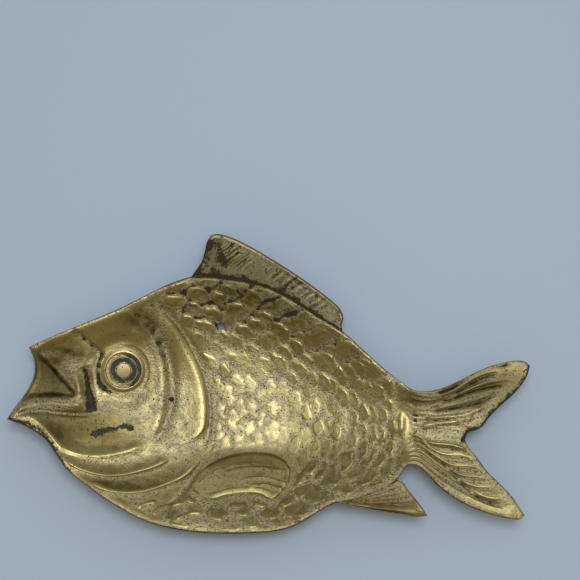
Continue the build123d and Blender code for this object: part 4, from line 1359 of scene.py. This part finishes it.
# %% Anal fin piece
anal_ray_height = 0.16
anal_ray_count = 7
anal_front_steps = 31
anal_path, anal_outward = base_between(belly_shares, anal_base_shares)
anal_base = anal_path - anal_outward * fin_root_overlap
anal_edges = [line(anal_bottom_shares, lobe_steps), line(anal_rear_shares, fin_steps)]
anal_borders = [
    anal_edges[0], anal_base, line(anal_front_shares, anal_front_steps), anal_edges[1].copy()]
anal_borders[2][-1], anal_borders[3][-1] = anal_base[0], anal_base[-1]


def anal_rays(x, y, u, v):
    """Low rays from the root to the free edge."""
    return rays(u, v, anal_ray_height, anal_ray_count)


anal_mesh = fin_sheet(anal_borders, 120, 48, anal_rays, anal_edges, anal_path,
                      (False, True, True, False))
anal_fin = finish_piece(anal_mesh, "anal_fin", brass)

# %% [markdown]
# ## Pectoral fin
#
# This fin is a leaf that lies on the flank, thick along its lower edge, with a few raised rays.
# It could be one more form of the flank's carving, but the grid would have to be much finer for
# such a crisp edge. So it is a small sheet of its own, sunk a little way into the flank.

# %% Pectoral fin piece
leaf_rise = 0.45
leaf_crown = (0.15, 0.0, 1.2)
leaf_edge_radius = 0.35
leaf_sunk = 0.4
leaf_strokes = [(ray, 0.3, 0.4, 0.5) for ray in leaf_ray_lines] + [(leaf_ridge_shares, 0.45, 1.0, 0.6)]


def leaf_front(x, y, u, v):
    """Height of the leaf: a low crown with its rays and its ridge, rounded at the edge."""
    edge = np.abs(nearest(x, y, pectoral_loop)[0])
    crown = leaf_rise + change(edge, *leaf_crown) + sum(ridge(x, y, *stroke) for stroke in leaf_strokes)
    return form(x, y) + crown + uneven(x, y) - round_over(edge, leaf_edge_radius)


def leaf_back(x, y, u, v):
    """Height of the leaf's hidden side, a little under the flank's surface."""
    return form(x, y) - leaf_sunk


pectoral_mesh = cast_sheet(pectoral_borders, 140, 76, leaf_front, leaf_back, (True, True, True, True))
pectoral_fin = finish_piece(pectoral_mesh, "pectoral_fin", brass)

# %% [markdown]
# ## Eye
#
# The eye is a domed stud inside a thin ring and a wide, soft shoulder. Cones and toruses would
# come close, but none has this section. A spin makes any of them: a few vertices make half the
# section, and one full turn makes the form.

# %% Turned forms
eye_shine = 0.3
eye_normal = Vector((-eye_slope_x, -eye_slope_y, 1)).normalized()
eye_place = Matrix.Translation(Vector((eye_x, eye_y, eye_z)) * mm) @ \
    eye_normal.to_track_quat("Z", "Y").to_matrix().to_4x4()


def turned(section, steps=72):
    """A section of (radius, height) points in millimetres turned about the eye's own axis."""
    bm = bmesh.new()
    crest, grime_and_shade = [bm.verts.layers.float.new(kind) for kind in ("crest", "grime_and_shade")]
    verts = [bm.verts.new(Vector((radius, 0, height)) * mm) for radius, height in section]
    edges = [bm.edges.new(pair) for pair in zip(verts[:-1], verts[1:])]
    bmesh.ops.spin(bm, geom=verts + edges, cent=(0, 0, 0), axis=(0, 0, 1),
                   angle=2 * np.pi, steps=steps, use_merge=True)
    bmesh.ops.remove_doubles(bm, verts=bm.verts[:], dist=mm / 100)
    bmesh.ops.recalc_face_normals(bm, faces=bm.faces[:])
    bmesh.ops.transform(bm, matrix=eye_place, verts=bm.verts[:])
    x, y = np.array([vert.co.xy for vert in bm.verts]).T / mm
    # Dirt and painted shade, as on the sheets
    for vert, stain_and_shade in zip(bm.verts, stains_and_shade(x, y)):
        vert[crest], vert[grime_and_shade] = eye_shine, stain_and_shade
    return bm


# %% Sections of the eye
# Each point is a radius and a height over the seat in mm
pupil_edge = 0.4
pupil_dome = 0.1
eye_ring_half_width = 0.35
eye_ring_height = 0.4
sunk = 0.3
shoulder_section = [
    (8.8, -0.4), (8.8, -0.05), (8.4, 0.08), (8.0, 0.22), (7.6, 0.36), (7.3, 0.42), (7.1, 0.42),
    (6.9, 0.34), (6.75, 0.16), (6.7, -0.4),
]


def rounded(centre, top, half_width, height, start, end, points):
    """Part of an ellipse in section, from one angle to another."""
    return [(centre + half_width * np.cos(turn), top - height * (1 - np.sin(turn)))
            for turn in np.linspace(start, end, points)]


pupil_section = [(0, pupil_height)] + rounded(
    pupil_radius - pupil_edge, pupil_height - pupil_dome, pupil_edge, pupil_edge, np.pi / 2, 0, 12)
pupil_section += [(pupil_radius, -sunk), (0, -sunk)]
ring_section = [(eye_ring_radius + eye_ring_half_width, -sunk)] + rounded(
    eye_ring_radius, eye_ring_height, eye_ring_half_width, eye_ring_height, 0, np.pi, 13)
ring_section += [(eye_ring_radius - eye_ring_half_width, -sunk)]

# %% Eye pieces
eye_pupil = finish_piece(turned(pupil_section), "eye_pupil", brass)
eye_ring = finish_piece(turned(ring_section), "eye_ring", brass)
eye_socket_ring = finish_piece(turned(shoulder_section), "eye_socket_ring", brass)

# %% [markdown]
# ## Floor, light and camera
#
# The dish lies on a plain pale floor. Metal shows what is around it more than its own colour. A
# small bare lamp would give hard white dots on every scale, so the light is a soft panel over
# the dish and a quiet world all round, which is warmer on one side than on the other. The
# camera looks almost straight down through a long lens, so that the fish keeps its outline.

# %% Floor
floor_colour = (0.478, 0.566, 0.672, 1)
floor_roughness = 0.9
floor_half_size = 1.5
floor_mesh = bmesh.new()
bmesh.ops.create_grid(floor_mesh, x_segments=1, y_segments=1, size=floor_half_size)
floor_data = bpy.data.meshes.new("floor")
floor_mesh.to_mesh(floor_data)
floor_mesh.free()
floor = bpy.data.objects.new("floor", floor_data)
bpy.context.scene.collection.objects.link(floor)
floor_paint = bpy.data.materials.new("floor_paint")
floor_paint.use_nodes = True
paint = floor_paint.node_tree.nodes["Principled BSDF"].inputs
paint["Base Color"].default_value = floor_colour
paint["Roughness"].default_value = floor_roughness
floor_data.materials.append(floor_paint)

# %% World
warm_side = (0.34, 0.29, 0.20, 1)
cool_side = (0.48, 0.49, 0.50, 1)
world = bpy.data.worlds.new("quiet_room")
world.use_nodes = True
sky = world.node_tree
direction = put(sky, "ShaderNodeTexCoord").outputs["Generated"]
toward = put(sky, "ShaderNodeSeparateXYZ", {"Vector": direction}).outputs["Y"]
room = blend(sky, remap(sky, toward, -0.7, 0.7), warm_side, cool_side)
sky.links.new(room, sky.nodes["Background"].inputs["Color"])
bpy.context.scene.world = world

# %% Window
window_place = Vector((0.06, 0.11, 0.8))
window_size = 0.31
window_watts = 2.5
window_colour = (0.90, 0.97, 1.09)


def show(name, data, location, aim):
    """Put a lamp or a camera in the scene, facing a point."""
    made = bpy.data.objects.new(name, data)
    made.location = location
    made.rotation_euler = (aim - location).to_track_quat("-Z", "Y").to_euler()
    bpy.context.scene.collection.objects.link(made)
    return made


window_data = bpy.data.lights.new("window", "AREA")
window_data.size = window_size
window_data.energy = window_watts
window_data.color = window_colour
window = show("window", window_data, window_place, Vector((0, 0, 0)))
print("window above the floor in metres:", round(window.location.z, 2))

# %% Camera
camera_elevation = np.radians(82)
camera_distance = 0.5326
camera_lens = 85
camera_aim = Vector((0.0080, 0.0358, 0.010))
camera_data = bpy.data.cameras.new("camera")
camera_data.lens = camera_lens
camera_way = Vector((0, -np.cos(camera_elevation), np.sin(camera_elevation)))
camera = show("camera", camera_data, camera_aim + camera_distance * camera_way, camera_aim)
bpy.context.scene.camera = camera
bpy.context.scene.view_settings.view_transform = "Standard"
